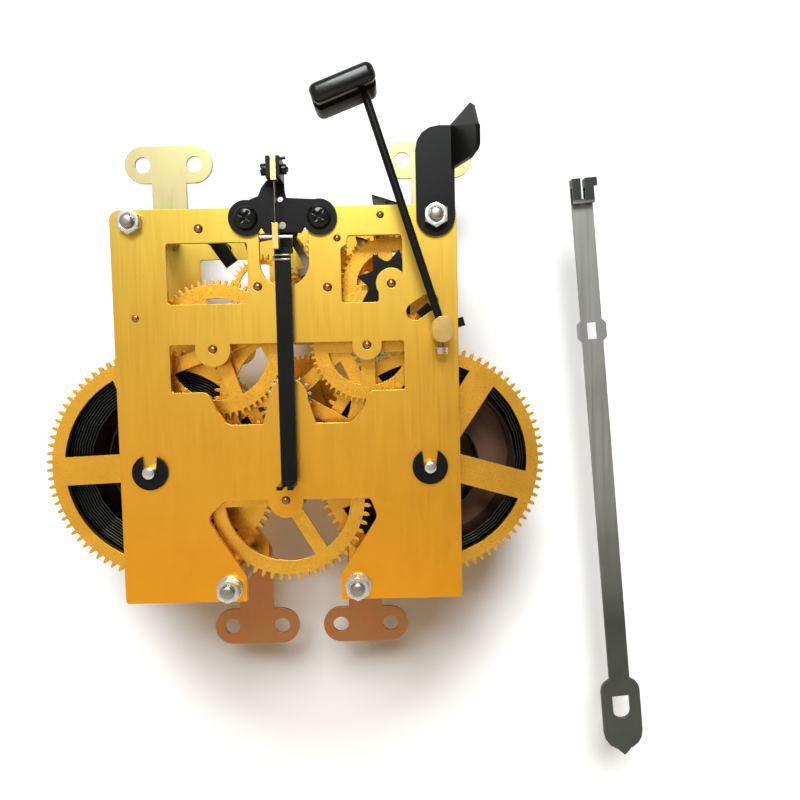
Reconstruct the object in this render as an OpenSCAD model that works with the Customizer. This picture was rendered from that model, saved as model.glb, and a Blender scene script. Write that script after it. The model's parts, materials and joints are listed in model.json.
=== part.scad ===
// Striking pendulum clock movement with two spring barrels between brass plates.
// Bench coordinates are used inside: x to the right and y up, seen from the back plate,
// and z from the board face (0), where the feet seat, towards the viewer.
// upright() turns them into the part's frame: +Z up, the back plate facing -Y.
// The origin is on the hand arbor's axis, in the plane of the board face.

/* [Plates] */
// Width of both plates
plate_w = 120; // [116:1:130]
// Height of both plates
plate_h = 138.5; // [138:0.5:146]
// Height of the plates' top edge above the hand arbor
plate_top = 66.1; // [66:0.1:69]
// Thickness of each plate
plate_t = 2; // [1.5:0.1:3]
// Clear distance between the plates
plate_gap = 44; // [43:0.5:52]
// Radius of the plates' upper corners
plate_top_corner = 3.2; // [1:0.1:4]
// Radius of the plates' lower corners
plate_low_corner = 1.2; // [0.5:0.1:3]
// Radius in the corners of the plates' windows
window_corner = 1; // [0.4:0.1:1.6]

/* [Pillars] */
// Diameter of the pillars
pillar_d = 7.6; // [6:0.1:9]
// Diameter of the pillars' threaded ends
stud_d = 4.2; // [3:0.1:5]
// Width across the flats of the pillar nuts
nut_af = 7.6; // [7:0.1:10]
// Thickness of the pillar nuts
nut_t = 3.2; // [2:0.1:4]
// Length of thread that stands out of each nut
stud_proud = 1.4; // [0.5:0.1:3]
// Distance of the upper pillars from the plates' sides
top_pillar_side = 7.2; // [6:0.1:9]
// Distance of the upper pillars from the plates' top edge
top_pillar_down = 4.3; // [4:0.1:6]
// Distance between the two lower pillars
low_pillar_spacing = 45.8; // [42:0.1:48]
// Distance of the lower pillars from the plates' lower edge
low_pillar_up = 4.8; // [4:0.1:6]
// Diameter of the washers under the lower nuts
washer_d = 9.4; // [8:0.1:10]
// Thickness of the washers
washer_t = 0.8; // [0.5:0.1:1.5]

/* [Feet] */
// Thickness of the mounting feet
foot_t = 1.5; // [1:0.1:2.5]
// Width of a foot's head
foot_head_w = 35.5; // [32:0.5:40]
// Height of a foot's head
foot_head_h = 14.9; // [12:0.1:18]
// Width of a foot's stem
foot_stem_w = 14; // [12:0.1:18]
// Distance of a foot's hole row from its pillar
foot_reach = 31.5; // [28:0.1:40]
// Diameter of the fixing holes in the feet
foot_hole_d = 6.4; // [4:0.1:8]
// Distance between the two fixing holes of a foot
foot_hole_spacing = 21; // [17:0.1:24]

/* [Arbor places] */
// Distance between the two winding arbors
winding_spacing = 98.6; // [97:0.1:101]
// Depth of the winding arbors below the hand arbor
winding_drop = 25.2; // [24:0.1:26]
// Place of the time train's intermediate arbor
intermediate_at = [-2, -36.3]; // [-60:0.1:60]
// Place of the time train's third arbor
third_at = [-25.9, 17.6]; // [-60:0.1:60]
// Place of the escape wheel's arbor
escape_at = [-9.5, 39]; // [-60:0.1:60]
// Place of the pallet arbor
pallet_at = [0, 59.5]; // [-60:0.1:60]
// Place of the strike train's second arbor
second_at = [28, 18]; // [-60:0.1:60]
// Place of the star's arbor in the strike train
star_at = [37, 39.2]; // [-60:0.1:60]
// Place of the warning wheel's arbor
warning_at = [14.8, 38.3]; // [-60:0.1:60]
// Place of the strike train's fourth arbor
fourth_at = [18.5, 55.1]; // [-60:0.1:60]
// Place of the fly's arbor
fly_at = [33.6, 62.8]; // [-60:0.1:65]
// Place of the hammer's arbor
hammer_at = [53.8, 23.3]; // [-60:0.1:60]
// Place of the strike lever's arbor
lever_at = [-29.4, 59.2]; // [-60:0.1:62]
// Place of the riveted spring post
post_at = [-52.4, 28.9]; // [-60:0.1:60]
// Distance of the minute wheel's stud below the hand arbor
minute_drop = 18; // [17:0.1:19]

/* [Tooth counts] */
// Teeth of both great wheels
great_teeth = 84; // [78:1:90]
// Leaves of the pinions that the great wheels drive
great_pinion = 12; // [11:1:13]
// Teeth of the intermediate wheel
intermediate_teeth = 56; // [52:1:60]
// Leaves of the hand arbor's pinion
centre_pinion = 14; // [13:1:15]
// Teeth of the centre wheel
centre_teeth = 60; // [58:1:64]
// Leaves of the third arbor's pinion
third_pinion = 8; // [8:1:9]
// Teeth of the third wheel
third_teeth = 62; // [58:1:64]
// Leaves of the escape arbor's pinion
escape_pinion = 7; // [7:1:8]
// Teeth of the escape wheel
escape_teeth = 40; // [34:1:44]
// Teeth of the strike train's second wheel
second_teeth = 60; // [56:1:64]
// Leaves of the star arbor's pinion
star_pinion = 8; // [8:1:9]
// Teeth of the wheel on the star's arbor
star_teeth = 50; // [48:1:54]
// Leaves of the warning arbor's pinion
warning_pinion = 10; // [9:1:11]
// Teeth of the warning wheel
warning_teeth = 42; // [40:1:46]
// Teeth of the fourth wheel
fourth_teeth = 42; // [40:1:46]
// Leaves of the fourth and fly arbors' pinions
fly_pinion = 7; // [7:1:8]
// Leaves of the cannon pinion
cannon_leaves = 12; // [11:1:13]
// Teeth of the minute wheel
minute_teeth = 36; // [33:1:39]
// Leaves of the minute wheel's pinion
minute_leaves = 10; // [9:1:11]
// Teeth of the hour wheel
hour_teeth = 40; // [36:1:44]

/* [Wheels] */
// Thickness of the great wheels
great_t = 2.2; // [1.6:0.1:2.4]
// Width of the great wheels' spokes
great_spoke = 10.5; // [8:0.1:12]
// Inner radius of the great wheels' rims
great_rim_r = 36.6; // [35:0.1:37.5]
// Thickness of the train wheels
wheel_t = 1.4; // [1:0.1:1.5]
// Width of the train wheels' rims below the teeth
wheel_rim = 5; // [3:0.1:6]
// Width of the train wheels' spokes
wheel_spoke = 5; // [3:0.1:6]
// Tip radius of the escape wheel
escape_r = 13; // [12:0.1:13.4]
// Tip radius of the hammer star
star_r = 12.5; // [11:0.1:12.8]
// Points of the hammer star
star_points = 8; // [6:1:10]

/* [Barrels] */
// Outer radius of the spring barrels
barrel_r = 39; // [38.5:0.1:40]
// Wall thickness of the spring barrels
barrel_wall = 1.4; // [1:0.1:2]
// Height of the spring barrels
barrel_h = 21; // [18:0.5:24]
// Height of the mainsprings
spring_h = 17; // [12:0.5:17.5]
// Thickness of the mainspring strips
spring_t = 0.45; // [0.3:0.05:0.5]
// Distance from one spring loop to the next
spring_pitch = 1; // [0.95:0.05:1.1]
// Radius of the winding arbors inside the springs
core_r = 5.5; // [4.5:0.1:6]
// Width across the flats of the winding squares
square_af = 4.4; // [3.5:0.1:4.6]
// Length of the winding squares
square_l = 16; // [10:0.5:24]
// Diameter of the winding arbors' ends in the back plate
winding_end_d = 4.2; // [3.5:0.1:5]
// Width of the retaining clips' mouths
clip_mouth = 5.7; // [4:0.1:7]
// Outer diameter of the retaining clips
clip_d = 12.5; // [10:0.1:14]
// Thickness of the retaining clips
clip_t = 1; // [0.6:0.1:1.4]
// Tip radius of the ratchet wheels
ratchet_r = 11; // [9:0.1:12]
// Teeth of the ratchet wheels
ratchet_teeth = 20; // [16:1:26]

/* [Hammer] */
// Diameter of the hammer rod
rod_d = 2.8; // [2:0.1:3.4]
// Length of the hammer rod from the arbor to the head
rod_l = 81.3; // [70:0.1:90]
// Lean of the hammer rod to the left of upright
rod_lean = 17.4; // [10:0.1:22]
// Height of the hammer rod's axis above the back plate
rod_off = 10; // [9.5:0.1:14]
// Length of the hammer head across the rod
head_l = 22; // [16:0.5:28]
// Height of the hammer head along the rod
head_h = 6.6; // [5.4:0.1:9]
// Depth of the hammer head from lobe to lobe
head_deep = 21; // [16:0.5:22]
// Distance of the rod from the middle of the head
head_offset = 6; // [0:0.1:7]
// Diameter of the hammer's collet
collet_d = 6.6; // [5.5:0.1:8]
// Width of the backstop's strap
backstop_w = 13.4; // [11:0.1:14]
// Height of the backstop's strap above its nut
backstop_h = 30.5; // [26:0.5:36]
// Length of the backstop's bent flap
flap_l = 19; // [12:0.5:24]

/* [Suspension and crutch] */
// Thickness of the suspension bracket's sheet
bracket_t = 1.6; // [1:0.1:2]
// Distance between the suspension bracket's screws
bracket_screws = 25.2; // [24:0.1:28]
// Sideways place of the suspension spring
suspension_x = -1.4; // [-2:0.1:0]
// Distance of the suspension spring's middle from the back plate
suspension_off = 7.5; // [7:0.1:9]
// Free length of the suspension spring
spring_free = 14; // [13:0.1:16]
// Width of the crutch's strap
crutch_w = 5.5; // [4:0.1:7]
// Thickness of the crutch's strap
crutch_t = 1.2; // [0.8:0.1:1.4]
// Length of the crutch below the pallet arbor
crutch_l = 89.5; // [80:0.5:100]
// Length of the crutch's bent foot
crutch_foot = 12; // [6:0.5:16]

/* [Pendulum leader] */
// Length of the pendulum leader
leader_l = 244; // [200:1:260]
// Width of the leader's strip
leader_w = 8.7; // [6:0.1:10]
// Thickness of the leader's strip
leader_t = 1.2; // [0.8:0.1:2]

/* [Hand arbor] */
// Diameter of the hour pipe
hour_pipe_d = 6; // [5.6:0.1:7]
// Length of the hour pipe in front of its wheel
hour_pipe_l = 11; // [8:0.5:16]
// Diameter of the minute pipe where the minute hand sits
minute_pipe_d = 3.8; // [3.4:0.1:4.2]
// Length of the minute pipe in front of the hour pipe
minute_pipe_l = 7; // [5:0.5:12]
// Length of the hand arbor's tip in front of the minute pipe
hand_tip_l = 4; // [3:0.5:8]

/* [Hidden] */
$fn = 48;

brass = "#dba638";
steel = "#b9bcc0";
black = "#2a2a2b";
zinc = "#bfae62";
grey_steel = "#5f6466";

// Levels along z
front_out = foot_t;
front_in = front_out + plate_t;
back_in = front_in + plate_gap;
back_out = back_in + plate_t;

// Clearances
running_gap = 0.05;
// Face gap that keeps a loose washer a piece of its own
seat_gap = 0.02;
end_shake = 0.2;
rest_gap = 0.3;

// Radii of turned pieces
pivot_r = 1.2;
small_pivot_r = 0.9;
pivot_proud = 0.9;
pivot_dome = 0.5;
arbor_r = 1.4;
centre_r = 2.2;
centre_front_r = 2;
cannon_seat_r = 1.5;
cannon_pipe_r = 2.2;
stud_post_r = 1.5;
rivet_r = 1;
journal_r = 4;
winding_body_r = 3.5;
ratchet_seat_r = 3;
hammer_arbor_r = 2;
oil_sink_rim = 0.35;
oil_sink_depth = 0.3;

// Distances of the wheels' and pinions' near faces from the back plate
star_level = 1.5;
intermediate_level = 2.2;
centre_pinion_level = 1.2;
third_level = 5.4;
second_level = 5.4;
small_pinion_level = 4.6;
centre_level = 8.4;
star_wheel_level = 8.4;
third_pinion_level = 7.4;
warning_pinion_level = 7.6;
escape_level = 10.2;
great_level = 12.5;
great_pinion_level = 11.5;
warning_level = 13;
fourth_pinion_level = 12;
fourth_level = 30;
fly_pinion_level = 29;
fly_level = 11;
lever_level = 20;
pinion_h = 3.4;
great_pinion_h = 4.2;
hub_h = 1.2;
hub_r = 3.2;

// Places that follow from the driving sizes
hand_at = [0, 0];
time_at = [-winding_spacing / 2, -winding_drop];
strike_at = [winding_spacing / 2, -winding_drop];
minute_at = [0, -minute_drop];
plate_low = plate_top - plate_h;
pillar_at = [
    [-plate_w / 2 + top_pillar_side, plate_top - top_pillar_down],
    [plate_w / 2 - top_pillar_side, plate_top - top_pillar_down],
    [-low_pillar_spacing / 2, plate_low + low_pillar_up],
    [low_pillar_spacing / 2, plate_low + low_pillar_up]
];
bracket_drop = 3.7;
bracket_screw_at = [
    [-bracket_screws / 2, plate_top - bracket_drop],
    [bracket_screws / 2, plate_top - bracket_drop]
];
screw_r = 1.5;
screw_head_r = 4.1;
screw_head_h = 2;
click_screw_head_r = 2.4;

// Small functions
function polar(r, a) = [r * cos(a), r * sin(a)];
function unit(v) = v / norm(v);
function heading(v) = atan2(v.y, v.x);
function arc(c, r, a0, a1, n = 6) = [for (i = [0:n]) c + polar(r, a0 + (a1 - a0) * i / n)];
function short_turn(a) = a > 180 ? a - 360 : a < -180 ? a + 360 : a;

// Points of one rounded corner p between its neighbours a and b
function corner(a, p, b, r) =
    let (u = unit(a - p), v = unit(b - p), half = acos(u * v) / 2)
    let (c = p + unit(u + v) * r / sin(half), s = p + u * r / tan(half), e = p + v * r / tan(half))
    let (a0 = heading(s - c))
    r <= 0 ? [p] : arc(c, r, a0, a0 + short_turn(heading(e - c) - a0), 4);

// Outline through corners given as [x, y, radius]
function rounded(pts) =
    let (n = len(pts), xy = [for (p = pts) [p.x, p.y]])
    [for (i = [0:n - 1]) each corner(xy[(i + n - 1) % n], xy[i], xy[(i + 1) % n], pts[i].z)];

// Gear geometry: pitch radii share the distance between two arbors by their tooth counts
wheel_share = 0.42;
leaf_share = 0.3;
function wheel_pitch(a, b, teeth, leaves) = norm(b - a) * teeth / (teeth + leaves);
function pinion_pitch(a, b, teeth, leaves) = norm(b - a) * leaves / (teeth + leaves);

// Angle of a follower's first tooth that meshes with a driver turned to phase
function mesh(a, b, teeth, leaves, phase) =
    let (d = heading(b - a), u = (d - phase) * teeth / 360)
    d + 180 + (u - 0.5) * 360 / leaves;

// Outline of one tooth repeated: pairs of radius and share of the half tooth
function toothed(n, half, steps, phase) = [
    for (i = [0:n - 1]) each concat(
        [for (s = steps) polar(s[0], phase + i * 360 / n - half * s[1])],
        [for (k = [len(steps) - 1:-1:0]) polar(steps[k][0], phase + i * 360 / n + half * steps[k][1])]
    )
];
function tooth_module(rp, n) = 2 * rp / n;
function wheel_tip(rp, n) = rp + 0.95 * tooth_module(rp, n);
function wheel_root(rp, n) = rp - 1.25 * tooth_module(rp, n);
function wheel_points(n, rp, phase) =
    let (m = tooth_module(rp, n))
    toothed(n, wheel_share * 180 / n, [
        [wheel_root(rp, n), 1], [rp + 0.1 * m, 0.95], [rp + 0.6 * m, 0.6], [wheel_tip(rp, n), 0.2]
    ], phase);
function pinion_points(n, rp, phase) =
    let (m = tooth_module(rp, n))
    toothed(n, leaf_share * 180 / n, [
        [rp - 1.3 * m, 1], [rp + 0.1 * m, 1], [rp + 0.5 * m, 0.45]
    ], phase);

module upright() {
    rotate([90, 0, 0]) children();
}

// Puts a piece on an arbor, its far face at a distance from the back plate
module on_arbor(place, depth) {
    translate([place.x, place.y, back_in - depth]) children();
}

module toothed_disc(teeth, rp, thick, phase, bore) {
    linear_extrude(thick) difference() {
        polygon(wheel_points(teeth, rp, phase));
        circle(bore);
    }
}

// Openings between the spokes of a wheel
function crossing_points(n, r_in, r_out, spoke) =
    let (ho = 180 / n - asin(spoke / 2 / r_out), hi = 180 / n - asin(spoke / 2 / r_in))
    concat(arc([0, 0], r_out, -ho, ho, 12), arc([0, 0], r_in, hi, -hi, 4));

module crossings(n, r_in, r_out, spoke, turn) {
    for (i = [0:n - 1])
        rotate(turn + (i + 0.5) * 360 / n) polygon(crossing_points(n, r_in, r_out, spoke));
}

// Crossed-out train wheel with a riveted hub on its dial side
module train_wheel(place, level, teeth, rp, phase, spokes, turn, bore, hub = hub_r) {
    rim_in = wheel_root(rp, teeth) - wheel_rim;
    spoke_in = max(hub + 1.2, wheel_spoke * 0.62 / sin(180 / spokes));
    on_arbor(place, level + wheel_t) {
        linear_extrude(wheel_t) difference() {
            polygon(wheel_points(teeth, rp, phase));
            if (rim_in > spoke_in + 1) crossings(spokes, spoke_in, rim_in, wheel_spoke, turn);
            circle(bore);
        }
        translate([0, 0, -hub_h]) linear_extrude(hub_h) difference() {
            circle(hub);
            circle(bore);
        }
    }
}

module pinion(place, level, height, leaves, rp, phase) {
    on_arbor(place, level + height) linear_extrude(height) polygon(pinion_points(leaves, rp, phase));
}

// Plain arbor between the plates with a pivot at each end
module train_arbor(place, r = arbor_r, pivot = pivot_r) {
    translate([place.x, place.y, front_out]) {
        cylinder(r = pivot, h = back_out + pivot_proud - pivot_dome - front_out);
        translate([0, 0, back_out + pivot_proud - pivot_dome - front_out])
            cylinder(r1 = pivot, r2 = pivot / 2, h = pivot_dome);
    }
    translate([place.x, place.y, front_in + end_shake]) cylinder(r = r, h = plate_gap - 2 * end_shake);
}

// Flat bar of width w from point a to point b
module bar(a, b, w) {
    translate(a) rotate(heading(b - a)) translate([0, -w / 2]) square([norm(b - a), w]);
}

module tube(r_out, r_in, h) {
    linear_extrude(h) difference() {
        circle(r_out);
        circle(r_in);
    }
}

// Windows shared by both plates
middle_top = 19.3;
middle_low = -9.1;
window_side = 41;
tongue_r = 6.2;
bottom_top = intermediate_at.y + 0.3;
leg_x = 16.8;
leg_top = -63.3;
foot_slope_top = -49;
bottom_side = -42;

module upper_left_window() {
    polygon(rounded([
        for (p = [[-window_side, 33.3], [-12.8, 33.3], [-12.8, 54.4], [-window_side, 54.4]])
            [p.x, p.y, window_corner]
    ]));
}

module upper_right_window() {
    difference() {
        polygon(rounded([
            [19.6, 32.8, window_corner], [32.5, 32.8, window_corner], [32.5, star_at.y, 0],
            [window_side, star_at.y, 0], [window_side, 56, window_corner], [22, 56, window_corner],
            [21.7, 53, 0.6], [19.6, 51.7, window_corner]
        ]));
        translate(star_at) circle(5.4);
    }
}

module middle_window() {
    difference() {
        polygon(rounded([
            [-window_side, 2.6, window_corner], [-28, 2.6, 3.5], [-25.4, -4, 4], [-21.6, middle_low, 3],
            [21.8, middle_low, 4], [26.4, -4, 4], [28.2, 2.1, 3], [window_side, 2.1, window_corner],
            [window_side, middle_top, window_corner], [-window_side, middle_top, window_corner]
        ]));
        translate(hand_at) circle(6.8);
        polygon([[-9.5, middle_low - 1], [9.7, middle_low - 1], [6.7, 0], [-6.7, 0]]);
        translate(third_at) circle(tongue_r);
        translate(second_at) circle(5.2);
    }
}

module bottom_window() {
    difference() {
        polygon(rounded([
            [-23.6, bottom_top, 3], [-30.2, bottom_side, 3.5], [-26.2, foot_slope_top, 6],
            [-leg_x, leg_top, 2],
            [-leg_x, plate_low - 1, 0], [leg_x, plate_low - 1, 0], [leg_x, leg_top, 2],
            [25.7, foot_slope_top - 1.1, 6], [30.4, bottom_side - 0.6, 3.5], [27.9, bottom_top, 2]
        ]));
        translate(intermediate_at) circle(tongue_r);
    }
}

module plate_outline() {
    polygon(rounded([
        for (p = [
            [-1, plate_low, plate_low_corner], [1, plate_low, plate_low_corner],
            [1, plate_top, plate_top_corner], [-1, plate_top, plate_top_corner]
        ]) [p.x * plate_w / 2, p.y, p.z]
    ]));
}

// Arbors whose small pivots run in both plates
pivots = [intermediate_at, third_at, escape_at, second_at, star_at, warning_at, lever_at];
small_pivots = [fourth_at, fly_at];

module plate_2d() {
    difference() {
        plate_outline();
        upper_left_window();
        upper_right_window();
        middle_window();
        bottom_window();
        for (p = pivots) translate(p) circle(pivot_r + running_gap);
        for (p = small_pivots) translate(p) circle(small_pivot_r + running_gap);
        for (p = pillar_at) translate(p) circle(stud_d / 2);
        translate(post_at) circle(rivet_r);
    }
}

// Opening round the pallet arbor and the crutch, hidden at its top by the bracket
u_half = 8.6;
u_bend_y = 47.4;
u_top = plate_top - 2.6;

module crutch_opening() {
    translate([0, u_bend_y]) circle(u_half);
    translate([-u_half, u_bend_y]) square([2 * u_half, u_top - u_bend_y]);
}

slot_w = 6;
slot_l = 6.4;
slot_turn = 33;
tail_reach = 9.8;
tail_angle = 129;

module hammer_slot() {
    translate(hammer_at + polar(tail_reach, tail_angle)) rotate(slot_turn) {
        translate([-slot_l / 2, -slot_w / 2]) square([slot_l, slot_w]);
        for (s = [-1, 1]) translate([s * slot_l / 2, 0]) circle(slot_w / 2);
    }
}

module oil_sink(r) {
    translate([0, 0, back_out - oil_sink_depth])
        cylinder(r1 = r, r2 = r + oil_sink_rim, h = oil_sink_depth + 0.001);
}

module back_plate() {
    color(brass) upright() difference() {
        translate([0, 0, back_in]) linear_extrude(plate_t) difference() {
            plate_2d();
            crutch_opening();
            hammer_slot();
            translate(hand_at) circle(pivot_r + running_gap);
            translate(hammer_at) circle(hammer_arbor_r + running_gap);
            for (p = [time_at, strike_at]) translate(p) circle(winding_end_d / 2 + running_gap);
            for (p = bracket_screw_at) translate(p) circle(screw_r);
        }
        for (p = concat(pivots, [hand_at])) translate([p.x, p.y, 0]) oil_sink(pivot_r + running_gap);
        for (p = small_pivots) translate([p.x, p.y, 0]) oil_sink(small_pivot_r + running_gap);
    }
}

module front_plate() {
    color(brass) upright() translate([0, 0, front_out]) linear_extrude(plate_t) difference() {
        plate_2d();
        translate(pallet_at) circle(pivot_r + running_gap);
        translate(hand_at) circle(centre_front_r + running_gap);
        translate(minute_at) circle(stud_post_r);
        translate(hammer_at) circle(pivot_r + running_gap);
        for (p = [time_at, strike_at]) translate(p) circle(ratchet_seat_r + running_gap);
        for (s = [-1, 1]) translate(click_at(s)) circle(screw_r);
        for (s = [-1, 1]) translate(click_spring_at(s)) circle(rivet_r);
    }
}

// What lies between the back plate and each back nut
function under_nut(i) = i == 1 ? bracket_t : i > 1 ? washer_t : 0;

module pillars() {
    color(steel) upright() for (i = [0:3]) translate([pillar_at[i].x, pillar_at[i].y, 0]) {
        translate([0, 0, front_in]) cylinder(d = pillar_d, h = plate_gap);
        translate([0, 0, -nut_t - stud_proud])
            cylinder(d = stud_d, h = back_out + under_nut(i) + 2 * (nut_t + stud_proud));
    }
}

module hex_nut() {
    difference() {
        cylinder(d = nut_af / cos(30), h = nut_t, $fn = 6);
        translate([0, 0, -1]) cylinder(d = stud_d, h = nut_t + 2);
    }
}

module pillar_nuts() {
    color(steel) upright() for (i = [0:3]) translate([pillar_at[i].x, pillar_at[i].y, 0]) {
        translate([0, 0, back_out + under_nut(i)]) rotate(30) hex_nut();
        translate([0, 0, -nut_t]) hex_nut();
        if (i > 1) translate([0, 0, back_out])
            tube(washer_d / 2, stud_d / 2 + running_gap, washer_t - seat_gap);
    }
}

module foot() {
    linear_extrude(foot_t) difference() {
        union() {
            circle(d = foot_stem_w);
            translate([-foot_stem_w / 2, 0]) square([foot_stem_w, foot_reach]);
            for (s = [-1, 1])
                translate([s * (foot_head_w - foot_head_h) / 2, foot_reach]) circle(d = foot_head_h);
            translate([-(foot_head_w - foot_head_h) / 2, foot_reach - foot_head_h / 2])
                square([foot_head_w - foot_head_h, foot_head_h]);
        }
        circle(d = stud_d);
        for (s = [-1, 1]) translate([s * foot_hole_spacing / 2, foot_reach]) circle(d = foot_hole_d);
    }
}

module mounting_feet() {
    color(zinc) upright() for (i = [0:3])
        translate([pillar_at[i].x, pillar_at[i].y, 0]) rotate(i < 2 ? 0 : 180) foot();
}

// Stud of the minute wheel on the front plate, and the spring post between the plates
stud_head_r = 2.4;
stud_head_t = 0.6;

module riveted_posts() {
    color(steel) upright() {
        translate([minute_at.x, minute_at.y, minute_pinion_low - end_shake])
            cylinder(r = stud_post_r, h = front_in - minute_pinion_low + end_shake);
        translate([minute_at.x, minute_at.y, minute_pinion_low - end_shake - stud_head_t])
            cylinder(r = stud_head_r, h = stud_head_t);
        translate([post_at.x, post_at.y, front_out]) cylinder(r = rivet_r, h = back_out - front_out);
        translate([post_at.x, post_at.y, front_in]) cylinder(r = stud_post_r, h = plate_gap);
    }
}

// Suspension bracket: a sheet on the back plate that rises into a channel with two cheeks
cheek_t = 1.3;
cheek_h = 7.2;
cheek_deep = 9.5;
block_w = 2;
cheek_low = pallet_at.y + 14.1;
clamp_r = 1;
clamp_at = [cheek_low + 3.6, back_out + suspension_off - 0.5];
block_low = cheek_low - 0.4;
block_deep = 5;
lobe_r = 6.1;
bend_relief_r = 1;

module bracket_2d() {
    post_l = suspension_x - block_w / 2 - cheek_t;
    post_r = suspension_x + block_w / 2 + cheek_t;
    mid = pallet_at.y;
    difference() {
        union() {
            for (p = bracket_screw_at) translate(p) circle(lobe_r);
            polygon([
                [-6.2, mid - 2.4], [6.3, mid - 2.4], [8, mid + 0.4],
                [bracket_screw_at[1].x, bracket_screw_at[1].y - 3],
                [bracket_screw_at[1].x + 2, bracket_screw_at[1].y + 5.7], [post_r + 0.6, mid + 9.4],
                [post_r, cheek_low - 2], [post_r, cheek_low], [post_r, cheek_low + cheek_h],
                [post_l, cheek_low + cheek_h], [post_l, cheek_low + 2], [post_l - 1.5, mid + 15.2],
                [post_l - 3.3, mid + 12.9], [post_l - 4.4, mid + 10.2],
                [bracket_screw_at[0].x, bracket_screw_at[0].y + 5.5],
                [bracket_screw_at[0].x, bracket_screw_at[0].y - 3], [-8, mid + 0.4]
            ]);
        }
        for (p = bracket_screw_at) translate(p) circle(screw_r);
        translate(pallet_at) circle(pivot_r + running_gap);
        translate([suspension_x + 0.8, mid + 9]) circle(bend_relief_r);
    }
}

module suspension_bracket() {
    color(black) upright() difference() {
        union() {
            translate([0, 0, back_out]) linear_extrude(bracket_t) bracket_2d();
            for (s = [-1, 1])
                translate([suspension_x + s * (block_w + cheek_t) / 2 - cheek_t / 2, cheek_low, back_out])
                    cube([cheek_t, cheek_h, cheek_deep + bracket_t]);
        }
        clamp_shank();
    }
}

module clamp_shank() {
    translate([suspension_x, clamp_at.x, clamp_at.y]) rotate([0, 90, 0])
        cylinder(r = clamp_r, h = block_w + 2 * cheek_t + 6, center = true);
}

module suspension_top_block() {
    color(brass) upright() difference() {
        translate([suspension_x - block_w / 2, block_low, back_out + suspension_off - block_deep / 2])
            cube([block_w, cheek_h, block_deep]);
        clamp_shank();
    }
}

module slotted_screw(head_r, head_h, shank_l) {
    difference() {
        cylinder(r = head_r, h = head_h);
        translate([-head_r, -0.4, head_h - 0.7]) cube([2 * head_r, 0.8, 1]);
    }
    translate([0, 0, -shank_l]) cylinder(r = screw_r, h = shank_l);
}

// Bracket screws, click screws and the suspension's clamp screw
module plate_screws() {
    clamp_l = block_w / 2 + cheek_t;
    color(black) upright() {
        for (p = bracket_screw_at) translate([p.x, p.y, back_out + bracket_t])
            slotted_screw(screw_head_r, screw_head_h, bracket_t + plate_t);
        for (s = [-1, 1]) translate([click_at(s).x, click_at(s).y, click_low - end_shake])
            rotate([180, 0, 0]) slotted_screw(click_screw_head_r, 1.2, front_in - click_low + end_shake);
        translate([suspension_x, clamp_at.x, clamp_at.y]) rotate([0, 90, 0]) {
            translate([0, 0, -clamp_l - 2.2]) cylinder(r = 2, h = 2.2);
            translate([0, 0, -clamp_l]) cylinder(r = clamp_r, h = 2 * clamp_l + 0.8);
            translate([0, 0, clamp_l]) cylinder(r = 1.8, h = 1.8, $fn = 6);
        }
    }
}

// Backstop: strap under the upper right nut, its right edge bent towards the viewer,
// with a leaf bent back above the bent edge
flap_bend = 68;
flap_low = 16;
flap_fall = 4.6;
leaf_bend = 20;
leaf_at = 9;
leaf_h = 8;

module hammer_backstop() {
    n = pillar_at[1];
    half = backstop_w / 2;
    color(black) upright() translate([n.x, n.y, back_out]) {
        linear_extrude(bracket_t) difference() {
            union() {
                circle(half);
                polygon(rounded([
                    [-half, 0, 0], [half, 0, 0], [half, backstop_h, 0], [-half, backstop_h, 8]
                ]));
            }
            circle(d = stud_d);
        }
        translate([half, 0, 0]) rotate([0, -flap_bend, 0]) linear_extrude(bracket_t) polygon(rounded([
            [0, flap_low, 0], [flap_l * 0.7, flap_low + 0.6, 3], [flap_l, flap_low + 2.8, 2.5],
            [flap_l, backstop_h - flap_fall, 0], [0, backstop_h, 0]
        ]));
        translate([half, 0, 0]) rotate([0, -flap_bend, 0]) translate([0, backstop_h, bracket_t])
            rotate([0, 0, -atan(flap_fall / flap_l)]) rotate([-leaf_bend, 0, 0]) translate([0, 0, -bracket_t])
                linear_extrude(bracket_t) polygon(rounded([
                    [0, 0, 0], [norm([flap_l, flap_fall]), 0, 0], [leaf_at, leaf_h, 1.2]
                ]));
    }
}

// Clicks on the front plate's dial side, beside the ratchet wheels
ratchet_t = 2;
ratchet_gap = 0.3;
click_low = front_out - ratchet_gap - ratchet_t;
click_reach = 17;
click_turn = 20;
click_r = 3.2;
click_tail = 10;
click_back = 2;
click_lift = 1.8;
wire_w = 0.8;
function winding_at(s) = s < 0 ? time_at : strike_at;
function side_of(s, p) = winding_at(s) + [-s * p.x, p.y];

// Click points drawn for the time side, from the winding arbor: the nose lies just outside the ratchet's tips
click_pin = polar(click_reach, click_turn);
click_nose = polar(ratchet_r + rest_gap, 64);
click_along = unit(click_pin - click_nose);
click_out = [-click_along.y, click_along.x];
click_spring_foot = click_pin + click_out * click_tail;
click_spring_knee = click_nose + click_along + click_out * (click_tail - 2);
click_spring_end = click_nose + click_along * 3.5 + click_out * (click_back + click_lift);
function click_at(s) = side_of(s, click_pin);
function click_spring_at(s) = side_of(s, click_spring_foot);

module mirrored(s) {
    mirror([s > 0 ? 1 : 0, 0, 0]) children();
}

module click(s) {
    translate([winding_at(s).x, winding_at(s).y, click_low]) mirrored(s) linear_extrude(ratchet_t)
        difference() {
            union() {
                translate(click_pin) circle(click_r);
                polygon([
                    click_nose, click_pin - click_out * click_r, click_pin + click_out * click_r,
                    click_nose + click_out * click_back
                ]);
            }
            translate(click_pin) circle(screw_r + running_gap);
        }
}

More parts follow.
